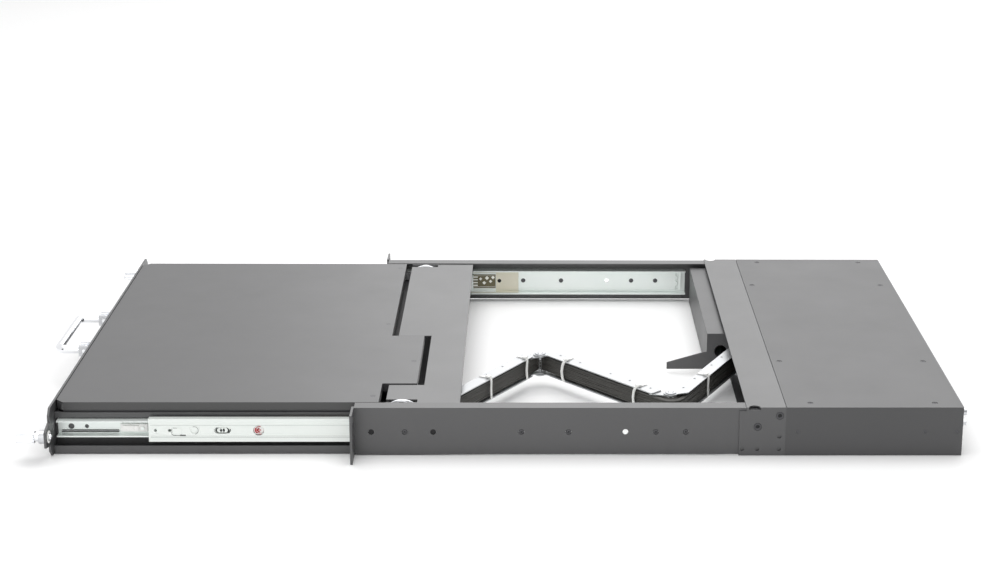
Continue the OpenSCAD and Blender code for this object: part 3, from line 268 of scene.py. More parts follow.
def cable_skin(name, tone, rough=0.5):
    """Soft cable jacket, slightly waxy, with a fine grain."""
    f = Finish(name, rough=rough, specular=0.5)
    cloud = f.noise(70, 3)
    fine = f.noise(1500, 2)
    f.colour(f.mix(cloud, tuple(c * 0.8 for c in tone), tuple(c * 1.3 for c in tone)))
    f.feed("Roughness", rough - 0.08 + cloud * 0.16)
    f.bump(fine, 0.15, 0.00005)
    return f.material


def display_glass(name):
    """Dark glass with a thin clear coat."""
    f = Finish(name, rough=0.12, specular=0.5, coat=0.4)
    fine = f.noise(3000, 1)
    f.colour(f.mix(f.noise(8, 2), (0.010, 0.011, 0.014), (0.016, 0.017, 0.021)))
    f.feed("Roughness", 0.10 + fine * 0.08)
    f.bump(fine, 0.03, 0.00002)
    return f.material


def circuit_board(name):
    """Solder mask with copper tracks showing through."""
    f = Finish(name, rough=0.35, specular=0.5)
    x = f.axis("X")
    y = f.axis("Y")
    track = ((x * 310 + f.noise(40, 0) * 2).op("FRACT").above(0.72)) * f.noise(25, 0).above(0.5)
    cross = ((y * 260).op("FRACT").above(0.8)) * f.noise(31, 0).below(0.45)
    f.colour(f.mix((track + cross).clamped() * 0.6, (0.012, 0.10, 0.035), (0.03, 0.20, 0.07)))
    f.feed("Roughness", 0.3 + f.noise(400, 2) * 0.15)
    f.bump(track + cross, 0.2, 0.0001)
    return f.material


make_camera()
# In metres from the middle: past it, on the lid's sides, shade is painted into the lid's coat
LID_SHADE_FROM = 0.2050
COAT = powder_coat("coat_frame", (0.050, 0.050, 0.052), 0.38)
COAT_BOX = powder_coat("coat_box", (0.052, 0.052, 0.054), 0.42, 0.72)
COAT_LID_SIDE_SHADE = powder_coat("coat_lid_side_shade", (0.050, 0.050, 0.052), 0.38, side=LID_SHADE_FROM)
COAT_COVER = powder_coat("coat_cover", (0.076, 0.076, 0.078), 0.38)
COAT_DARK = powder_coat("coat_shade", (0.046, 0.046, 0.048), 0.45)
ZINC = zinc("zinc_slide", (0.84, 0.91, 0.88), (0.92, 0.95, 0.93))
ZINC_MID = zinc("zinc_middle", (0.78, 0.83, 0.80), (0.86, 0.89, 0.86))
PALE_ZINC = zinc("pale_zinc", (0.88, 0.88, 0.82), (0.94, 0.93, 0.88))
LINE_ZINC = zinc("line_zinc", (0.36, 0.39, 0.38), (0.44, 0.47, 0.45))
# Painted shadow: dark zinc for the shade at the middle members' tab, slot and ring
SHADOW_ZINC = zinc("shaded_zinc", (0.10, 0.11, 0.11), (0.16, 0.17, 0.16))
OLIVE = zinc("olive_stamping", (0.11, 0.095, 0.05), (0.20, 0.18, 0.11))
BRASS = zinc("passivated_cage", (0.70, 0.68, 0.56), (0.80, 0.79, 0.70))
STEEL = steel("arm_steel", (0.56, 0.57, 0.58), 0.42)
BRIGHT = steel("bright_fittings", (0.66, 0.67, 0.69), 0.3)
CHROME = chrome("chrome_plate")
CABLE = cable_skin("cable_jacket", (0.072, 0.070, 0.064))
NYLON = plastic("white_nylon", (0.90, 0.90, 0.88), 0.4, 900, 0.08, 0.03)
RED = plastic("red_nylon", (0.50, 0.012, 0.02), 0.35, 900, 0.08, 0.06)
CREAM = plastic("cream_nylon", (0.80, 0.77, 0.64), 0.4, 900, 0.08, 0.04)
# Painted shade: near black for the insides of holes and recesses
RECESS_SHADE = plastic("painted_recess_shade", (0.006, 0.006, 0.007), 0.6, 900, 0.05)
BLACK_PLASTIC = plastic("black_plastic", (0.022, 0.022, 0.024))
KEYS = plastic("key_plastic", (0.030, 0.030, 0.033), 0.5, 2600, 0.25)
PAD = plastic("touch_surface", (0.040, 0.040, 0.043), 0.55, 3200, 0.3)
GLASS = display_glass("display_glass")
BOARD = circuit_board("circuit_board")
SCREW = steel("black_screw", (0.10, 0.10, 0.105), 0.35)

node_finish = {
    COAT: ["rail_right", "rail_left", "rear_bridge", "front_panel"],
    COAT_LID_SIDE_SHADE: ["lid_shell"],
    COAT_COVER: ["hinge_cover"],
    COAT_BOX: ["switch_cover", "switch_chassis"],
    COAT_DARK: ["drawer_tray", "shelf_housing", "arm_anchor"],
    ZINC: ["slide_outer_right", "slide_outer_left", "slide_inner_right", "slide_inner_left"],
    ZINC_MID: ["slide_mid_right", "slide_mid_left"],
    BRASS: ["ball_cage_right", "ball_cage_left", "inner_cage_right", "inner_cage_left"],
    STEEL: ["arm_link_rear", "arm_link_middle", "arm_link_front", "arm_post"],
    BRIGHT: ["hinge_brackets", "lid_hinge_arms", "rear_ports", "screw_bushings", "handle_brackets"],
    CHROME: ["handle_bow", "thumbscrew_right", "thumbscrew_left"],
    CABLE: ["arm_cable_rear", "arm_cable_middle", "arm_cable_front", "cable_tail", "cable_loop_rear",
            "cable_loop_front"],
    NYLON: ["cable_ties_rear", "cable_ties_middle", "cable_ties_front", "release_lever_right",
            "release_lever_left"],
    RED: ["slide_latch_right", "slide_latch_left"],
    BLACK_PLASTIC: ["keyboard_frame", "display_bezel"],
    KEYS: ["letter_keys", "space_bar", "number_pad_keys", "menu_buttons"],
    PAD: ["touchpad", "touch_button_left", "touch_button_right"],
    GLASS: ["display_panel"],
    BOARD: ["switch_board"],
    SCREW: ["frame_screws", "lid_screws"],
}
for finish, names in node_finish.items():
    for name in names:
        node = frame["nodes"][name]
        node.data.materials.clear()
        node.data.materials.append(finish)


# Edges of the carried-over nodes

SHARP_ANGLE = math.radians(32)
FLAT_ANGLE = math.radians(0.4)
BEVEL_ANGLE = math.radians(40)
WELD_MM = 0.005


def smooth_by_angle():
    """A modifier group that shades faces smooth and keeps every edge past the angle sharp."""
    group = bpy.data.node_groups.new("smooth_by_angle", "GeometryNodeTree")
    group.interface.new_socket("Geometry", in_out="INPUT", socket_type="NodeSocketGeometry")
    group.interface.new_socket("Geometry", in_out="OUTPUT", socket_type="NodeSocketGeometry")
    way_in = group.nodes.new("NodeGroupInput")
    way_out = group.nodes.new("NodeGroupOutput")
    faces = group.nodes.new("GeometryNodeSetShadeSmooth")
    edges = group.nodes.new("GeometryNodeSetShadeSmooth")
    edges.domain = "EDGE"
    edges.inputs["Shade Smooth"].default_value = False
    angle = group.nodes.new("GeometryNodeInputMeshEdgeAngle")
    sharp = group.nodes.new("FunctionNodeCompare")
    sharp.operation = "GREATER_THAN"
    sharp.inputs[1].default_value = SHARP_ANGLE
    group.links.new(angle.outputs["Unsigned Angle"], sharp.inputs[0])
    group.links.new(sharp.outputs[0], edges.inputs["Selection"])
    group.links.new(way_in.outputs[0], faces.inputs["Geometry"])
    group.links.new(faces.outputs[0], edges.inputs["Geometry"])
    group.links.new(edges.outputs[0], way_out.inputs[0])
    return group


SMOOTHING = smooth_by_angle()


def shade(piece):
    """Smooth round stretches, with each flat face kept flat beside its rounded edges."""
    made = piece.modifiers.new("shade", "NODES")
    made.node_group = SMOOTHING
    flats = piece.modifiers.new("flats", "WEIGHTED_NORMAL")
    flats.mode = "FACE_AREA"
    flats.weight = 100
    flats.keep_sharp = True


def round_edges(names, width):
    """Breaks the edges of sheet and moulded nodes, as folding and tumbling do."""
    for name in names:
        piece = frame["nodes"][name]
        weld = piece.modifiers.new("weld", "WELD")
        weld.merge_threshold = WELD_MM * MM
        flat = piece.modifiers.new("flat", "DECIMATE")
        flat.decimate_type = "DISSOLVE"
        flat.angle_limit = FLAT_ANGLE
        bevel = piece.modifiers.new("bevel", "BEVEL")
        bevel.width = width * MM
        bevel.segments = 2
        bevel.limit_method = "ANGLE"
        bevel.angle_limit = BEVEL_ANGLE
        bevel.use_clamp_overlap = True
        shade(piece)


SHEET_NODES = ["rail_right", "rail_left", "rear_bridge", "switch_chassis", "switch_cover", "front_panel",
               "drawer_tray", "hinge_cover", "lid_shell", "shelf_housing", "display_bezel", "keyboard_frame"]
MEMBER_NODES = ["slide_outer_right", "slide_outer_left", "slide_mid_right", "slide_mid_left",
                "slide_inner_right", "slide_inner_left", "hinge_brackets", "arm_anchor"]
LINK_NODES = ["arm_link_rear", "arm_link_middle", "arm_link_front"]
FITTING_NODES = ["handle_brackets", "screw_bushings"]
KEY_NODES = ["space_bar", "touch_button_left", "touch_button_right", "touchpad", "display_panel"]
round_edges(SHEET_NODES, 0.3)
round_edges(MEMBER_NODES, 0.18)
round_edges(LINK_NODES, 0.15)
round_edges(FITTING_NODES, 0.3)
round_edges(KEY_NODES, 0.35)


# Building blocks for the new pieces

def add_part(bm, part, place=Matrix.Identity(4)):
    """Moves a finished bmesh part to its place and joins it to another."""
    part.transform(place)
    joined = bpy.data.meshes.new("joined")
    part.to_mesh(joined)
    part.free()
    bm.from_mesh(joined)
    bpy.data.meshes.remove(joined)


def add_block(bm, low, high, edge, place=Matrix.Identity(4)):
    """A block from corner to corner with rounded edges."""
    part = bmesh.new()
    bmesh.ops.create_cube(part, size=1)
    size = [high[i] - low[i] for i in range(3)]
    bmesh.ops.scale(part, verts=part.verts, vec=size)
    bmesh.ops.translate(part, verts=part.verts, vec=[(low[i] + high[i]) / 2 for i in range(3)])
    bmesh.ops.bevel(part, geom=part.edges[:], offset=edge, segments=2, profile=0.5, affect="EDGES",
                    material=-1)
    add_part(bm, part, place)


def add_turned(bm, outline, place, steps=24):
    """A body turned round Z from (radius, height) points, open or closed."""
    part = bmesh.new()
    points = [part.verts.new((r, 0, h)) for r, h in outline]
    edges = [part.edges.new(pair) for pair in zip(points, points[1:])]
    bmesh.ops.spin(part, geom=points + edges, cent=(0, 0, 0), axis=(0, 0, 1), angle=2 * math.pi,
                   steps=steps, use_merge=True)
    bmesh.ops.remove_doubles(part, verts=part.verts, dist=0.001)
    bmesh.ops.recalc_face_normals(part, faces=part.faces)
    add_part(bm, part, place)


def pull(bm, faces, step):
    """Extrudes faces by a step."""
    made = bmesh.ops.extrude_face_region(bm, geom=faces)["geom"]
    bmesh.ops.translate(bm, verts=[g for g in made if isinstance(g, bmesh.types.BMVert)], vec=step)


def facing(point, axis):
    """A place with its Z along an axis name, such as +X, at a point in millimetres."""
    turn = Vector({"X": (1, 0, 0), "Y": (0, 1, 0), "Z": (0, 0, 1)}[axis[1]])
    if axis[0] == "-":
        turn = -turn
    return Matrix.Translation(point) @ turn.to_track_quat("Z", "Y").to_matrix().to_4x4()


def add_wire(bm, points, radius, sides=10):
    """A round wire along points, from a curve made mesh."""
    data = bpy.data.curves.new("wire", "CURVE")
    data.dimensions = "3D"
    data.bevel_depth = radius
    data.bevel_resolution = sides // 4
    data.use_fill_caps = True
    line = data.splines.new("POLY")
    line.points.add(len(points) - 1)
    for entry, point in zip(line.points, points):
        entry.co = (*point, 1)
    holder = bpy.data.objects.new("wire", data)
    bpy.context.scene.collection.objects.link(holder)
    made = bpy.data.meshes.new_from_object(holder.evaluated_get(bpy.context.evaluated_depsgraph_get()))
    part = bmesh.new()
    part.from_mesh(made)
    bmesh.ops.remove_doubles(part, verts=part.verts, dist=0.001)
    bmesh.ops.recalc_face_normals(part, faces=part.faces)
    bpy.data.objects.remove(holder)
    bpy.data.curves.remove(data)
    bpy.data.meshes.remove(made)
    add_part(bm, part)


def finish_piece(name, bm, finish, body=None, stands_for=()):
    """Turns a bmesh in millimetres from the floor into a piece of the model that rides on a body."""
    bmesh.ops.translate(bm, verts=bm.verts, vec=(0, 0, -MID))
    bmesh.ops.scale(bm, verts=bm.verts, vec=(MM, MM, MM))
    data = bpy.data.meshes.new(name)
    bm.to_mesh(data)
    bm.free()
    data.materials.append(finish)
    piece = link_object(name, data)
    shade(piece)
    if body:
        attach(piece, body)
    if stands_for:
        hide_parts(*stands_for)
    return piece


def corners(name):
    """Lowest and highest corner of a node in millimetres, with heights from the floor."""
    return [Vector((c.x / MM, c.y / MM, c.z / MM + MID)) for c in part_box(name)]


# Cable arm: the links' places come from the joints, seen in millimetres

def joint_point(name):
    """A joint's place in millimetres, at height nought."""
    spot = next(j for j in frame["joints"] if j["name"] == name)["pos_m"]
    return Vector((spot[0] / MM, spot[1] / MM, 0))


# FOLD is the radius of a cable bend. The front bend has a waist: half-way round, it is drawn in by
# the share WAIST of WAIST_IN, and up or down by that share of the way to the height WAIST_Z. It
# clears the shelf housing with the drawer closed, but runs through the pin of its fold.
FOLD = 7.6
WAIST = 0.42
WAIST_IN = 11.0
WAIST_Z = 21.5
REAR_LINK, MIDDLE_LINK, FRONT_LINK = 155.5, 155.0, 164.0
REAR_PIVOT = joint_point("arm_rear_pivot")
REAR_FOLD = joint_point("arm_middle_pivot")
FRONT_FOLD = joint_point("arm_front_pivot")


def heading(start, end):
    """The direction from one point to another, as an angle round Z."""
    return math.atan2(end.y - start.y, end.x - start.x)


REAR_TURN = heading(REAR_PIVOT, REAR_FOLD) - math.atan2(-FOLD, REAR_LINK)
MIDDLE_TURN = heading(REAR_FOLD, FRONT_FOLD) - math.atan2(2 * FOLD, MIDDLE_LINK) + 2 * math.pi
FRONT_TURN = math.radians(-32.304)


def link_place(pivot, turn, side):
    """The frame of a link: X along it from its foot, Y towards its open side."""
    across = Vector((-math.sin(turn), math.cos(turn), 0))
    return Matrix.Translation(pivot - side * FOLD * across) @ Matrix.Rotation(turn, 4, "Z")


REAR = link_place(REAR_PIVOT, REAR_TURN, 0)
MIDDLE = link_place(REAR_FOLD, MIDDLE_TURN, -1)
FRONT = link_place(FRONT_FOLD, FRONT_TURN, 1)
LINK_Z0, LINK_Z1 = 12.5, 32.5
LINK_HALF = 6.2
CABLE_R = 2.25
CABLE_ROWS = [17.6, 22.5, 27.4]
CABLE_COLUMNS = [-2.7, 2.2]
LEAD_R = 0.62
LEAD_Y = 4.45
LEAD_ROWS = [16.2, 18.6, 19.95, 21.4, 23.7, 24.95, 26.4, 28.9]
TAIL_IN = 20
TAIL_BEND = 12.2
RING_STEP = 1.6
RUN_STEP = 2.5
SWAY = 0.13


def run_points(place, x0, x1, y, z, phase):
    """One cable along a channel: it snakes a little between its square ends."""
    count = int((x1 - x0) / RUN_STEP)
    points = []
    for i in range(count + 1):
        share = i / count
        sway = math.sin(math.pi * share) * SWAY
        x = x0 + share * (x1 - x0)
        dy = sway * math.sin(x * 0.11 + phase)
        dz = sway * math.cos(x * 0.083 + phase * 1.7)
        points.append(place @ Vector((x, y + dy, z + dz)))
    return points


def lead_radius(y):
    """A strand's radius by its column: thin leads lie in the outermost one."""
    return LEAD_R if y == LEAD_Y else CABLE_R


def arc_points(centre, start, sweep, radius, z, waist=0.0):
    """Points of an arc; with a waist it runs closer to its centre and to the waist's height half-way."""
    count = max(12, int(abs(sweep) * radius / RING_STEP))
    points = []
    for i in range(count + 1):
        drawn = waist * math.sin(math.pi * i / count)
        reach = radius - WAIST_IN * drawn
        angle = start + sweep * i / count
        points.append(Vector((centre.x + reach * math.cos(angle), centre.y + reach * math.sin(angle),
                              z + (WAIST_Z - z) * drawn)))
    return points


def every_cable():
    """Place and phase of each cable, and of the thin leads along the outer side of the bundle."""
    found = [(y, z, 1.3 * k + 2.1 * j) for j, y in enumerate(CABLE_COLUMNS)
             for k, z in enumerate(CABLE_ROWS)]
    return found + [(LEAD_Y, z, 0.9 * k) for k, z in enumerate(LEAD_ROWS)]


def cable_bundle(routes):
    """Every cable and lead as wires along their routes."""
    bm = bmesh.new()
    for (y, z, phase), route in zip(every_cable(), routes):
        add_wire(bm, route, lead_radius(y), 12)
    return bm


def make_cables():
    """The bundle along each link, its bends at the two folds and its lead into the box."""
    runs = (("rear", REAR, TAIL_IN, REAR_LINK), ("middle", MIDDLE, 0, MIDDLE_LINK),
            ("front", FRONT, 0, FRONT_LINK))
    for name, place, x0, x1 in runs:
        bm = cable_bundle([run_points(place, x0, x1, y, z, phase) for y, z, phase in every_cable()])
        finish_piece("cables_" + name, bm, CABLE, "arm_" + name, ["arm_cable_" + name])
    quarter = math.pi / 2

    start = MIDDLE_TURN - 3 * quarter
    sweep = quarter + REAR_TURN - start
    bm = cable_bundle([arc_points(REAR_FOLD, start, sweep, FOLD + y, z) for y, z, phase in every_cable()])
    loop = finish_piece("cable_bend_rear", bm, CABLE, None, ["cable_loop_rear"])
    ends = [arc_points(REAR_FOLD, start, sweep, FOLD, MID)[i] for i in (-1, 0)]
    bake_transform(loop)

    start = MIDDLE_TURN - quarter
    sweep = 3 * quarter + FRONT_TURN - start
    bm = cable_bundle([arc_points(FRONT_FOLD, start, sweep, FOLD - y, z, WAIST)
                       for y, z, phase in every_cable()])
    loop = finish_piece("cable_bend_front", bm, CABLE, None, ["cable_loop_front"])
    ends = [arc_points(FRONT_FOLD, start, sweep, FOLD, MID)[i] for i in (0, -1)]
    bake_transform(loop)

    centre = REAR @ Vector((TAIL_IN, TAIL_BEND, 0))
    wall = corners("switch_cover")[0].y - 0.6
    routes = []
    for y, z, phase in every_cable():
        bend = arc_points(centre, math.pi, quarter + REAR_TURN, TAIL_BEND - y, z)
        straight = [Vector((centre.x - TAIL_BEND + y, wall + (centre.y - wall) * i / 8, z)) for i in range(8)]
        routes.append(straight + bend)
    tail = finish_piece("cable_lead_in", cable_bundle(routes), CABLE, None, ["cable_tail"])
    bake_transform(tail)


make_cables()

TIE_GAP = 0.2
TIE_HALF_W = 1.3
TIE_THICK = 0.8
TIE_BULGE = 0.5
TIE_BOW = 2.4
TIE_SHARES = {"rear": [0.64], "middle": [0.19, 0.8], "front": [0.12, 0.5]}


def tie_loop(bm, half_y, half_z, bulge):
    """A closed ring with straight sides and round corners, which bows along the link on its open side."""
    for vert in bmesh.ops.create_circle(bm, segments=56, radius=1)["verts"]:
        c, s = vert.co.x, vert.co.y
        y = math.copysign(abs(c) ** 0.36, c) * half_y
        z = math.copysign(abs(s) ** 0.30, s) * half_z
        bow = 1 - (z / half_z) ** 2
        if y > 0:
            y += bulge * bow
        vert.co = (TIE_BOW * bow * (1 + y / half_y) / 2, y, z)


def make_ties():
    """Nylon ties round each link and its cables, with a head and a cut tail on the top flange."""
    places = {"rear": (REAR, REAR_LINK), "middle": (MIDDLE, MIDDLE_LINK), "front": (FRONT, FRONT_LINK)}
    height = (LINK_Z1 - LINK_Z0) / 2
    for name, (place, length) in places.items():
        bm = bmesh.new()
        for number, share in enumerate(TIE_SHARES[name]):
            part = bmesh.new()
            tie_loop(part, LINK_HALF + TIE_GAP, height + TIE_GAP, TIE_BULGE)
            tie_loop(part, LINK_HALF + TIE_GAP + TIE_THICK, height + TIE_GAP + TIE_THICK, TIE_BULGE)
            sides = bmesh.ops.bridge_loops(part, edges=part.edges[:])["faces"]
            pull(part, sides, (2 * TIE_HALF_W, 0, 0))
            bmesh.ops.translate(part, verts=part.verts, vec=(-TIE_HALF_W, 0, 0))
            bmesh.ops.recalc_face_normals(part, faces=part.faces)
            lean = math.radians(7 if number % 2 else -6)
            spot = Matrix.Translation((share * length, 0, LINK_Z0 + height)) @ Matrix.Rotation(lean, 4, "Z")
            add_part(bm, part, place @ spot)
            top = height + TIE_GAP + TIE_THICK
            add_block(bm, (-2.4, 1.2, top - 0.2), (2.4, 5.4, top + 1.5), 0.4, place @ spot)
            tail = [place @ spot @ Vector((0, 5.2 + 0.9 * i, top + 0.8 - 0.09 * i * i)) for i in range(4)]
            add_wire(bm, tail, 0.45, 8)
        finish_piece("nylon_ties_" + name, bm, NYLON, "arm_" + name, ["cable_ties_" + name])


make_ties()


EYELETS = (0.13, 0.30, 0.46, 0.72, 0.89)


def make_link_trim():
    """Turned eyelets on the top flanges, lips on the flanges' edges, domes and collars at the folds."""
    rows = (("rear", REAR, REAR_LINK), ("middle", MIDDLE, MIDDLE_LINK), ("front", FRONT, FRONT_LINK))
    for name, place, length in rows:
        bm = bmesh.new()
        shade_pits = bmesh.new()
        for share in EYELETS:
            spot = place @ Matrix.Translation((share * length, -2.6, LINK_Z1))
            add_turned(bm, [(0.8, 0), (0.85, 0.22), (1.25, 0.22), (1.35, 0)], spot, 18)
            # Painted shade: a dark disc in each eyelet's hole
            add_turned(shade_pits, [(0, 0.02), (0.8, 0.02), (0.8, 0)], spot, 18)
        for z in (LINK_Z0 + 0.2, LINK_Z1 - 0.2):
            edge = [place @ Vector((x, LINK_HALF - 0.1, z)) for x in (12, length / 2, length - 12)]
            add_wire(bm, edge, 0.28, 8)
        finish_piece("link_eyelets_" + name, bm, STEEL, "arm_" + name)
        finish_piece("link_hole_shade_" + name, shade_pits, RECESS_SHADE, "arm_" + name)
    for name, centre in (("middle", REAR_FOLD), ("front", FRONT_FOLD)):
        bm = bmesh.new()
        dome = [(0, 1.0), (0.9, 0.92), (1.7, 0.66), (2.3, 0.3), (2.6, 0), (0, 0)]
        add_turned(bm, dome, Matrix.Translation(centre + Vector((0, 0, LINK_Z1 + 1.2))))
        collar = [(3.0, -1.2), (3.0, -0.3), (4.6, -0.3), (4.9, -0.6), (4.9, -0.9), (4.6, -1.2), (3.0, -1.2)]
        add_turned(bm, collar, Matrix.Translation(centre + Vector((0, 0, LINK_Z1 + 1.3))))
        add_turned(bm, collar, Matrix.Translation(centre + Vector((0, 0, LINK_Z0 + 0.2))))
        finish_piece("rivet_domes_" + name, bm, BRIGHT, "arm_middle" if name == "middle" else "arm_front")


make_link_trim()


# Slides: pieces are drawn on the right side and mirrored to the left

SLIDE_Z = 21.2
SLIDE_WEB = 1.2
CAGE_WEB = 0.6
RAIL_LEN = 338.0
SIDES = (("right", 1), ("left", -1))


def side_line(x, y, z, steps):
    """Points in a plane of one X, from (Y, Z) steps away from a point."""
    return [Vector((x, y + dy, z + dz)) for dy, dz in steps]


def finish_side(name, bm, side, finish, body, stands_for=()):
    """Finishes a right-hand piece or its mirror image, with the faces turned outwards again."""
    bm.transform(Matrix.Scale(side, 4, (1, 0, 0)))
    if side < 0:
        bmesh.ops.recalc_face_normals(bm, faces=bm.faces)
    return finish_piece(name, bm, finish, body, stands_for)


# Distance from the top edge and width of each bead, heights of the lines from the slide's middle,
# and distances of the tab, the ring and the slot from the member's front end
BEADS = ((3.6, 0.7), (7.4, 0.45), (13.2, 0.45), (18.0, 0.8))
MEMBER_LINES = (6.6, 4.7, -5.2, -6.5)
TAB_Y, RING_Y, SLOT_Y = 20.5, 39, 63
HOOK = [(0, 3.0), (-3.4, 3.0), (-4.6, 2.0), (-4.6, -2.6), (-3.0, -3.6), (2.6, -3.6), (3.6, -2.4)]
SLOT_END = [(6.8, 1.2), (6.6, -0.6), (5.6, -1.9), (4.4, -2.3)]
SLOT_RIM = [(-3.4, 2.6), (-5.2, 2.3), (-6.5, 1.0), (-6.6, -0.8), (-5.4, -2.3), (-3.4, -2.7), (3.6, -2.7)]
CRESCENT = [(3.5 * math.cos(a / 10), 3.5 * math.sin(a / 10)) for a in range(-14, 20, 3)]
ROD_STEPS = (3, 30, 52)


def member_lines(low, high):
    """Thin lines near the long edges of a middle member."""
    bm = bmesh.new()
    for dz in MEMBER_LINES:
        ends = (low.y + 1.5, (low.y + high.y) / 2, high.y - 1.5)
        add_wire(bm, [Vector((high.x, y, SLIDE_Z + dz)) for y in ends], 0.16, 8)
    return bm


def member_beads(low, high):
    """Rolled beads, a ring round a disc, a raised tab and the tongue in the slot."""
    face = high.x
    bm = bmesh.new()
    for drop, wide in BEADS:
        z = high.z - drop
        add_block(bm, (face - 0.1, low.y + 1.0, z - wide / 2), (face + 0.22, high.y - 1.0, z + wide / 2),
                  0.12)
    ring_place = facing((face, low.y + RING_Y, SLIDE_Z), "+X")
    ring = [(3.0, -0.9), (3.0, 0.24), (3.5, 0.3), (4.3, 0.24), (4.5, 0), (4.3, -0.9), (3.0, -0.9)]
    add_turned(bm, ring, ring_place)
    add_turned(bm, [(0, -0.5), (2.9, -0.5), (2.95, -0.9), (0, -0.9)], ring_place)
    tab = low.y + TAB_Y
    add_block(bm, (face - 0.1, tab - 0.4, SLIDE_Z - 3.6), (face + 0.3, tab + 7.6, SLIDE_Z + 2.2), 0.14)
    tongue = [(0, -0.35), (2.1, -0.35), (2.3, -0.6), (0, -0.6)]
    for shift in (-2.4, 0, 2.4):
        add_turned(bm, tongue, facing((face, low.y + SLOT_Y + shift, SLIDE_Z), "+X"), 24)
    return bm


def member_shadow_marks(low, high):
    """The dark outlines of the tab, the slot and the ring: painted shadow along their edges."""
    face = high.x
    tab = low.y + TAB_Y
    bm = bmesh.new()
    add_wire(bm, side_line(face + 0.05, tab + 3.9, SLIDE_Z - 0.9, HOOK), 0.26, 8)
    add_block(bm, (face - 0.2, tab + 6.2, SLIDE_Z - 5.2), (face + 0.16, tab + 11.2, SLIDE_Z - 3.9), 0.1)
    add_wire(bm, side_line(face + 0.05, low.y + SLOT_Y, SLIDE_Z, SLOT_END), 0.5, 8)
    add_wire(bm, side_line(face + 0.05, low.y + SLOT_Y, SLIDE_Z, SLOT_RIM), 0.24, 8)
    add_wire(bm, side_line(face + 0.1, low.y + RING_Y, SLIDE_Z, CRESCENT), 0.28, 8)
    return bm


def catch_rod(low):
    """The dark rod along the lower part of an inner member, with a thinner one above it."""
    bm = bmesh.new()
    web = low.x + SLIDE_WEB
    rod = [Vector((web + 0.65, low.y + y, SLIDE_Z - 4.6)) for y in ROD_STEPS]
    add_wire(bm, rod, 0.6, 10)
    add_wire(bm, [p + Vector((0, 0, 1.5)) for p in rod], 0.28, 8)
    return bm


def make_member_trim():
    """Surface detail of the middle and inner members, with painted shadows at the tab, slot and ring."""
    low, high = corners("slide_mid_right")
    inner = corners("slide_inner_right")[0]
    for label, side in SIDES:
        body = "slide_mid_" + label
        finish_side("member_lines_" + label, member_lines(low, high), side, LINE_ZINC, body)
        finish_side("member_beads_" + label, member_beads(low, high), side, ZINC_MID, body)
        # Painted shadows at the tab, the slot and the ring
        finish_side("member_shadow_marks_" + label, member_shadow_marks(low, high), side, SHADOW_ZINC, body)
        finish_side("catch_rod_" + label, catch_rod(inner), side, SCREW, "drawer")


make_member_trim()

FORK_BOW = [(1.6, 3.1), (0.2, 3.2), (-1.4, 2.6), (-2.6, 1.4), (-3.0, 0), (-2.6, -1.4), (-1.4, -2.6),
            (0.4, -3.2), (2.2, -3.0)]
FORK_PRONGS = ([(-2.9, 0), (0.2, 0.1), (2.0, 0)], [(-1.8, -0.1), (-0.6, 1.2), (0.6, 1.9)],
               [(-1.8, 0.1), (-0.6, -1.2), (0.8, -1.7)])


def make_latches():
    """The catch on the middle member: a red fork over a pale pad, which stays with the member."""
    low, high = corners("slide_latch_right")
    y = high.y - 2.0
    face = corners("slide_mid_right")[1].x
    for label, side in SIDES:
        bm = bmesh.new()
        add_block(bm, (low.x, low.y, SLIDE_Z - 2.3), (low.x + 1, high.y + 2.2, SLIDE_Z + 2.3), 0.25)
        add_wire(bm, side_line(face - 0.6, y, SLIDE_Z, FORK_BOW), 0.5, 10)
        for prong in FORK_PRONGS:
            add_wire(bm, side_line(face - 0.65, y, SLIDE_Z, prong), 0.38, 10)
        finish_side("red_catch_" + label, bm, side, RED, "slide_latch_" + label,
                    ["slide_latch_" + label])
        pad = bmesh.new()
        add_turned(pad, [(0, -0.95), (3.9, -0.95), (4.2, -1.1), (4.2, -1.3), (0, -1.3)],
                   facing((face, y, SLIDE_Z), "+X"), 28)
        finish_side("catch_pad_" + label, pad, side, NYLON, "slide_mid_" + label)


make_latches()


def make_levers():
    """White release lever with a ribbed, raised grip and a turned pivot."""
    low, high = corners("release_lever_right")
    for label, side in SIDES:
        bm = bmesh.new()
        add_block(bm, (low.x, low.y, SLIDE_Z - 3.5), (high.x - 1.4, high.y, SLIDE_Z + 3.5), 0.7)
        add_block(bm, (high.x - 1.8, low.y + 2.0, SLIDE_Z - 2.6), (high.x, high.y - 7.5, SLIDE_Z + 2.6), 0.6)
        for i in range(4):
            y = low.y + 4.2 + 2.4 * i
            add_block(bm, (high.x - 0.4, y, SLIDE_Z - 2.0), (high.x + 0.3, y + 0.9, SLIDE_Z + 2.0), 0.25)
        boss = [(0, 0.5), (1.2, 0.45), (2.2, 0.1), (2.4, -0.4), (0, -0.4)]
        add_turned(bm, boss, facing((high.x - 1.4, high.y - 4.4, SLIDE_Z), "+X"))
        finish_side("white_lever_" + label, bm, side, NYLON, "release_lever_" + label,
                    ["release_lever_" + label])


make_levers()


GEMS = ((-16.4, 2.6), (-12.6, -1.8), (-9.6, 3.6), (-5.8, -0.2), (-3.2, 4.2))


def end_plate(x, rear):
    """The dark stamped plate inside a middle member's rear end."""
    bm = bmesh.new()
    add_block(bm, (x - 0.14, rear - 25.0, SLIDE_Z - 7.6), (x + 0.02, rear - 0.4, SLIDE_Z + 7.6), 0.05)
    return bm


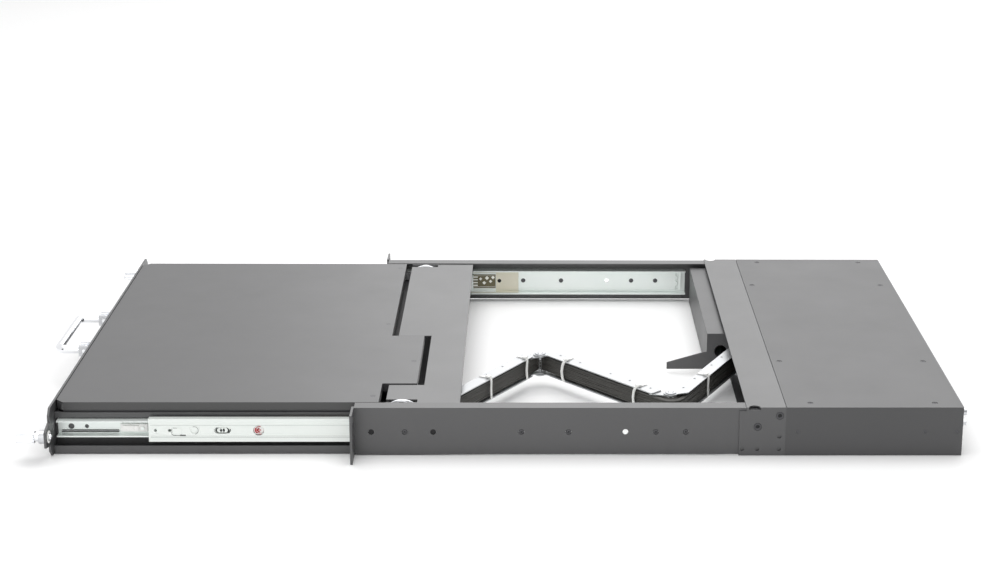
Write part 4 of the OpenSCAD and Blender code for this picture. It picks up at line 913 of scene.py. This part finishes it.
def end_gems(x, rear):
    """The plate's light lozenges, the bars at its front and the lines along its edges."""
    bm = bmesh.new()
    for i, (dy, dz) in enumerate(GEMS):
        gem = [(0, 0.12), (1.1 + 0.25 * (i % 3), 0.1), (1.9 + 0.25 * (i % 3), 0.0)]
        add_turned(bm, gem, facing((x - 0.13, rear + dy, SLIDE_Z + dz), "-X"), 4)
    for dz in (-8.2, -6.0, 6.0, 8.2):
        add_wire(bm, [Vector((x - 0.1, rear + dy, SLIDE_Z + dz)) for dy in (-24, -12, -1)], 0.14, 8)
    for dz in (-4.6, -1.6, 1.6, 4.6):
        z = SLIDE_Z + dz
        add_block(bm, (x - 0.2, rear - 24.6, z - 0.7), (x + 0.02, rear - 19.4, z + 0.7), 0.06)
    return bm


def cage_end(x, rear):
    """The nylon end of a ball cage, with three low ribs."""
    bm = bmesh.new()
    add_block(bm, (x - 0.05, rear - 24.0, SLIDE_Z - 9.0), (x + 0.3, rear - 0.2, SLIDE_Z + 9.0), 0.1)
    for dz in (-4.4, 0, 4.4):
        z = SLIDE_Z + dz
        add_block(bm, (x - 0.1, rear - 15.5, z - 1.1), (x + 0.2, rear - 2, z + 1.1), 0.1)
    return bm


def make_cage_ends():
    """Stamped plates at the middle members' rear ends and nylon ends on the ball cages."""
    member = corners("slide_mid_right")[1]
    cage = corners("ball_cage_right")[1]
    inside = member.x - SLIDE_WEB
    face = cage.x - CAGE_WEB
    for label, side in SIDES:
        body = "slide_mid_" + label
        plate = end_plate(inside, member.y)
        finish_side("member_end_plate_" + label, plate, side, OLIVE, body)
        gems = end_gems(inside, member.y)
        finish_side("member_end_gems_" + label, gems, side, PALE_ZINC, body)
        body = "ball_cage_" + label
        finish_side("cage_end_" + label, cage_end(face, cage.y), side, CREAM, body)
        # Painted shade: a dark disc stands for the cage's hole
        hole_shade = bmesh.new()
        hole = facing((face - 0.04, cage.y - 20.4, SLIDE_Z), "-X")
        add_turned(hole_shade, [(0, 0.08), (1.8, 0.08), (2.1, 0)], hole, 20)
        finish_side("cage_hole_shade_" + label, hole_shade, side, RECESS_SHADE, body)


make_cage_ends()

KNURLS, KNURL_R, KNURL_DEPTH = 40, 5.4, 0.93
HEAD_GAP, HEAD_LEN = 3.9, 15.5
ALONG_Y = Matrix.Rotation(-math.pi / 2, 4, "X")


def make_thumbscrews():
    """Thumbscrews with a stepped neck and a straight knurl between two turned rims."""
    bushing = corners("screw_bushings")[0].y
    foot = bushing - HEAD_GAP - HEAD_LEN
    for label, side in SIDES:
        low, high = corners("thumbscrew_" + label)
        spot = Vector(((low.x + high.x) / 2, 0, MID))
        bm = bmesh.new()
        neck = [(0, high.y), (1.9, high.y), (2.4, high.y - 0.8), (2.4, bushing - 0.3), (4.0, bushing - 0.4),
                (4.0, bushing - 3.2), (3.4, bushing - 3.6), (3.4, bushing - 4.4), (0, bushing - 4.4)]
        add_turned(bm, neck, Matrix.Translation(spot) @ ALONG_Y, 32)
        part = bmesh.new()
        ring = bmesh.ops.create_circle(part, segments=KNURLS * 2, radius=KNURL_R, cap_ends=True)["verts"]
        for number, vert in enumerate(ring):
            if number % 2:
                vert.co *= KNURL_DEPTH
        pull(part, part.faces[:], (0, 0, HEAD_LEN))
        bmesh.ops.recalc_face_normals(part, faces=part.faces)
        add_part(bm, part, Matrix.Translation(spot + Vector((0, foot, 0))) @ ALONG_Y)
        for step in (0.15, HEAD_LEN - 1.6):
            rim = [(4.9, 0), (5.45, 0.3), (5.45, 1.1), (4.9, 1.4)]
            add_turned(bm, rim, Matrix.Translation(spot + Vector((0, foot + step, 0))) @ ALONG_Y, 40)
        finish_piece("knurled_thumbscrew_" + label, bm, CHROME, "thumbscrew_" + label,
                     ["thumbscrew_" + label])


make_thumbscrews()

CLAW = [(0, 9.4), (-3.2, 9.0), (-3.8, 6.0), (-1.6, 4.4), (-1.6, 1.4), (-3.6, 0), (-1.6, -1.4),
        (-1.6, -4.4), (-3.8, -6.0), (-3.2, -9.0), (0, -9.4)]


def make_outer_stops():
    """Bent stop at the rear of each outer member, and its two rolled ball tracks."""
    low, high = corners("slide_outer_right")
    inside = high.x - SLIDE_WEB
    y = high.y - 6.5
    for label, side in SIDES:
        bm = bmesh.new()
        add_wire(bm, side_line(inside - 0.8, y, SLIDE_Z, CLAW), 0.6, 10)
        add_block(bm, (inside - 2.4, y + 1.2, SLIDE_Z - 10.2), (inside - 0.1, y + 2.4, SLIDE_Z + 10.2), 0.3)
        for z in (-10.4, 10.4):
            track = [Vector((inside - 0.5, end, SLIDE_Z + z)) for end in (low.y + 2, high.y - 9)]
            add_wire(bm, track, 0.5, 8)
        finish_side("rear_stop_" + label, bm, side, ZINC, "frame")


make_outer_stops()


# Screws, rings and the lid's front

# Places along a rail, as shares of its length, and along the box's side, as shares of its depth
RAIL_SCREWS = (0.1331, 0.429, 0.5488, 0.7707, 0.847)
RAIL_RECESSES = (0.0485, 0.2053)
BOX_DOTS = (0.068, 0.787, 0.967)
BOX_DEPTH = 153
WING_RING = [(1.7, -0.3), (1.9, -0.06), (3.1, -0.06), (3.3, -0.4), (3.3, -1.1), (1.7, -1.1)]


def add_screw(heads, shade_pits, place, radius):
    """A shallow domed head with a cross recess, sunk just below the sheet; the recess is drawn as a dark
    cross of painted shade.
    """
    dome = [(0, -0.05), (radius * 0.55, -0.07), (radius * 0.86, -0.2), (radius, -0.5), (radius, -1.1),
            (0, -1.1)]
    add_turned(heads, dome, place, 28)
    arm, half = radius * 0.5, radius * 0.12
    for turn in (0, math.pi / 2):
        spot = place @ Matrix.Rotation(turn + 0.4, 4, "Z")
        add_block(shade_pits, (-arm, -half, -0.4), (arm, half, -0.02), 0.03, spot)


def make_frame_screws():
    """Screws on the box cover and rails, rings on the wings, rail recesses and small box-side dots; the
    recesses, the ring centres and the screws' crosses are painted shade.
    """
    half = corners("switch_cover")[1].x
    front, rear = corners("switch_cover")[0].y - 0.5, corners("switch_cover")[1].y
    top = corners("switch_cover")[1].z
    heads, shade_pits = bmesh.new(), bmesh.new()
    sides = [front + 22, rear - 23.2]
    spots = [(x, y) for x in (-half * 0.584, half * 0.466) for y in (front + 8, rear - 13)]
    spots += [(s * (half - 11), y) for s in (1, -1) for y in sides]
    for x, y in spots:
        add_screw(heads, shade_pits, Matrix.Translation((x, y, top)), 2.2)
    for _, side in SIDES:
        axis = "+X" if side > 0 else "-X"
        for y, z in ((front - 5.3, 36.4), (RAIL_LEN + 9.9, 26.3)):
            place = facing((side * half, y, z), axis)
            add_turned(heads, WING_RING, place, 28)
            # Painted shade: a dark disc inside each wing ring
            add_turned(shade_pits, [(0, -0.5), (1.7, -0.5), (1.7, -1.0), (0, -1.0)], place, 20)
        for share in RAIL_SCREWS:
            place = facing((side * (half - 1.2), share * RAIL_LEN, SLIDE_Z), axis)
            add_screw(heads, shade_pits, place, 2.3)
            add_turned(heads, [(0, -1.1), (2.3, -1.1), (2.3, -2.0), (1.6, -2.3), (0, -2.3)], place, 20)
        for share in RAIL_RECESSES:
            # Painted shade: a dark disc for each rail recess
            place = facing((side * (half - 1.3), share * RAIL_LEN, SLIDE_Z), axis)
            add_turned(shade_pits, [(0, -0.6), (2.3, -0.6), (2.3, -1.1), (0, -1.1)], place, 20)
        for share in BOX_DOTS:
            place = facing((side * half, front + share * BOX_DEPTH, MID), axis)
            add_turned(heads, [(0, -0.35), (0.8, -0.3), (1.5, -0.1), (1.72, -0.1), (1.72, -1.1), (0, -1.1)],
                       place, 20)
    finish_piece("frame_screw_heads", heads, SCREW, "frame", ["frame_screws"])
    finish_piece("frame_screw_cross_shade", shade_pits, RECESS_SHADE, "frame")


make_frame_screws()


def make_lid_front():
    """The lid's front edge with its corners cut, up to a millimetre from the panel."""
    low, high = corners("lid_shell")
    back = corners("front_panel")[1].y
    y0, y1, cut = back + 1.0, back + 8.2, 5.0
    bm = bmesh.new()
    outline = [(low.x + cut, y0), (high.x - cut, y0), (high.x - 0.1, y0 + cut), (high.x - 0.1, y1),
               (low.x + 0.1, y1), (low.x + 0.1, y0 + cut)]
    face = bm.faces.new([bm.verts.new((x, y, low.z)) for x, y in outline])
    pull(bm, [face], (0, 0, high.z - low.z - 1.3))
    bmesh.ops.recalc_face_normals(bm, faces=bm.faces)
    finish_piece("lid_front_fold", bm, COAT, "lid")


make_lid_front()


def make_hinge_lugs():
    """Pale curved lugs of the lid's hinge that show in the slots of the hinge cover."""
    spot = next(j for j in frame["joints"] if j["name"] == "lid_hinge")["pos_m"]
    y, z = spot[1] / MM, spot[2] / MM + MID
    arm = corners("lid_hinge_arms")[1].x
    for label, side in SIDES:
        bm = bmesh.new()
        lug = [(0, 1.4), (6.4, 1.4), (7.6, 1.0), (8.0, 0), (7.6, -1.0), (6.4, -1.4), (0, -1.4)]
        place = Matrix.Translation((side * (arm - 4.0), y, z)) @ Matrix.Diagonal((1, 1.65, 1.06, 1))
        add_turned(bm, lug, place @ Matrix.Rotation(math.pi / 2, 4, "Y"), 40)
        finish_piece("hinge_lug_" + label, bm, BRIGHT, "lid")


make_hinge_lugs()


def make_tab_washers():
    """Pale washers behind the ear tabs, where the thumbscrews come through."""
    back = corners("front_panel")[1].y
    middle = (corners("thumbscrew_right")[0].x + corners("thumbscrew_right")[1].x) / 2
    for label, side in SIDES:
        bm = bmesh.new()
        ring = [(3.3, 0), (3.3, 0.7), (4.0, 0.85), (5.0, 0.75), (5.3, 0.5), (5.3, 0), (3.3, 0)]
        add_turned(bm, ring, facing((side * middle, back + 0.05, MID), "+Y"), 32)
        finish_piece("tab_washer_" + label, bm, NYLON, "drawer")


make_tab_washers()


# Stage

STAGE_Y, FLOOR_Z, FLOOR_SIZE = 0.13, -0.0222, 6
CARD_AWAY, CARD_HIGH, CARD_WIDE = 4.6, 1.3, 4.0
SKY_LIGHT = 0.62
LAMPS = (("top_light", (-0.2, 0.1, 2.4), 2.6, 46), ("far_light", (-2.4, 0.6, 1.5), 2.0, 14),
         ("near_light", (3.0, -0.4, 0.9), 1.8, 20))


def make_floor():
    """A plain, pale floor under the object."""
    floor_mesh = bpy.data.meshes.new("floor")
    bm = bmesh.new()
    bmesh.ops.create_grid(bm, x_segments=1, y_segments=1, size=FLOOR_SIZE)
    bmesh.ops.translate(bm, verts=bm.verts, vec=(0, STAGE_Y, FLOOR_Z))
    bm.to_mesh(floor_mesh)
    bm.free()
    floor = link_object("floor", floor_mesh)
    f = Finish("studio_floor", rough=0.7, specular=0.2)
    f.colour(f.mix(f.noise(3, 2), (0.93, 0.93, 0.93), (0.95, 0.95, 0.95)))
    floor.data.materials.append(f.material)


def make_card():
    """A dark card behind the camera. It shades the near sides and gives the metal its dark lines."""
    card_mesh = bpy.data.meshes.new("dark_card")
    bm = bmesh.new()
    bmesh.ops.create_grid(bm, x_segments=1, y_segments=1, size=1)
    bmesh.ops.scale(bm, verts=bm.verts, vec=(CARD_HIGH, CARD_WIDE, 1))
    bmesh.ops.rotate(bm, verts=bm.verts, cent=(0, 0, 0), matrix=Matrix.Rotation(math.pi / 2, 3, "Y"))
    bmesh.ops.translate(bm, verts=bm.verts, vec=(CARD_AWAY, 0.1, CARD_HIGH))
    bm.to_mesh(card_mesh)
    bm.free()
    card = link_object("dark_card", card_mesh)
    f = Finish("black_felt", rough=0.9, specular=0.1)
    f.colour(f.mix(f.noise(40, 2), (0.02, 0.02, 0.02), (0.035, 0.035, 0.035)))
    card.data.materials.append(f.material)
    card.visible_camera = False


def make_world():
    """White for what the camera and the metal see, softer as light on the object."""
    world = bpy.data.worlds.new("studio")
    bpy.context.scene.world = world
    world.use_nodes = True
    tree = world.node_tree
    background = tree.nodes["Background"]
    background.inputs["Color"].default_value = (1, 1, 1, 1)
    path = tree.nodes.new("ShaderNodeLightPath")
    seen = Sock(tree, path.outputs["Is Camera Ray"]) + Sock(tree, path.outputs["Is Glossy Ray"])
    seen = (seen + Sock(tree, path.outputs["Is Transmission Ray"])).clamped()
    strength = seen * (1 - SKY_LIGHT) + SKY_LIGHT
    tree.links.new(strength.value, background.inputs["Strength"])


def make_lamp(name, place, size, power):
    """A square lamp that faces the object."""
    data = bpy.data.lights.new(name, "AREA")
    data.size = size
    data.energy = power
    lamp = link_object(name, data)
    lamp.location = place
    lamp.rotation_euler = (Vector(place) - Vector((0, STAGE_Y, 0))).to_track_quat("Z", "Y").to_euler()


make_floor()
make_card()
make_world()
for lamp in LAMPS:
    make_lamp(*lamp)
bpy.context.scene.view_settings.view_transform = "Standard"
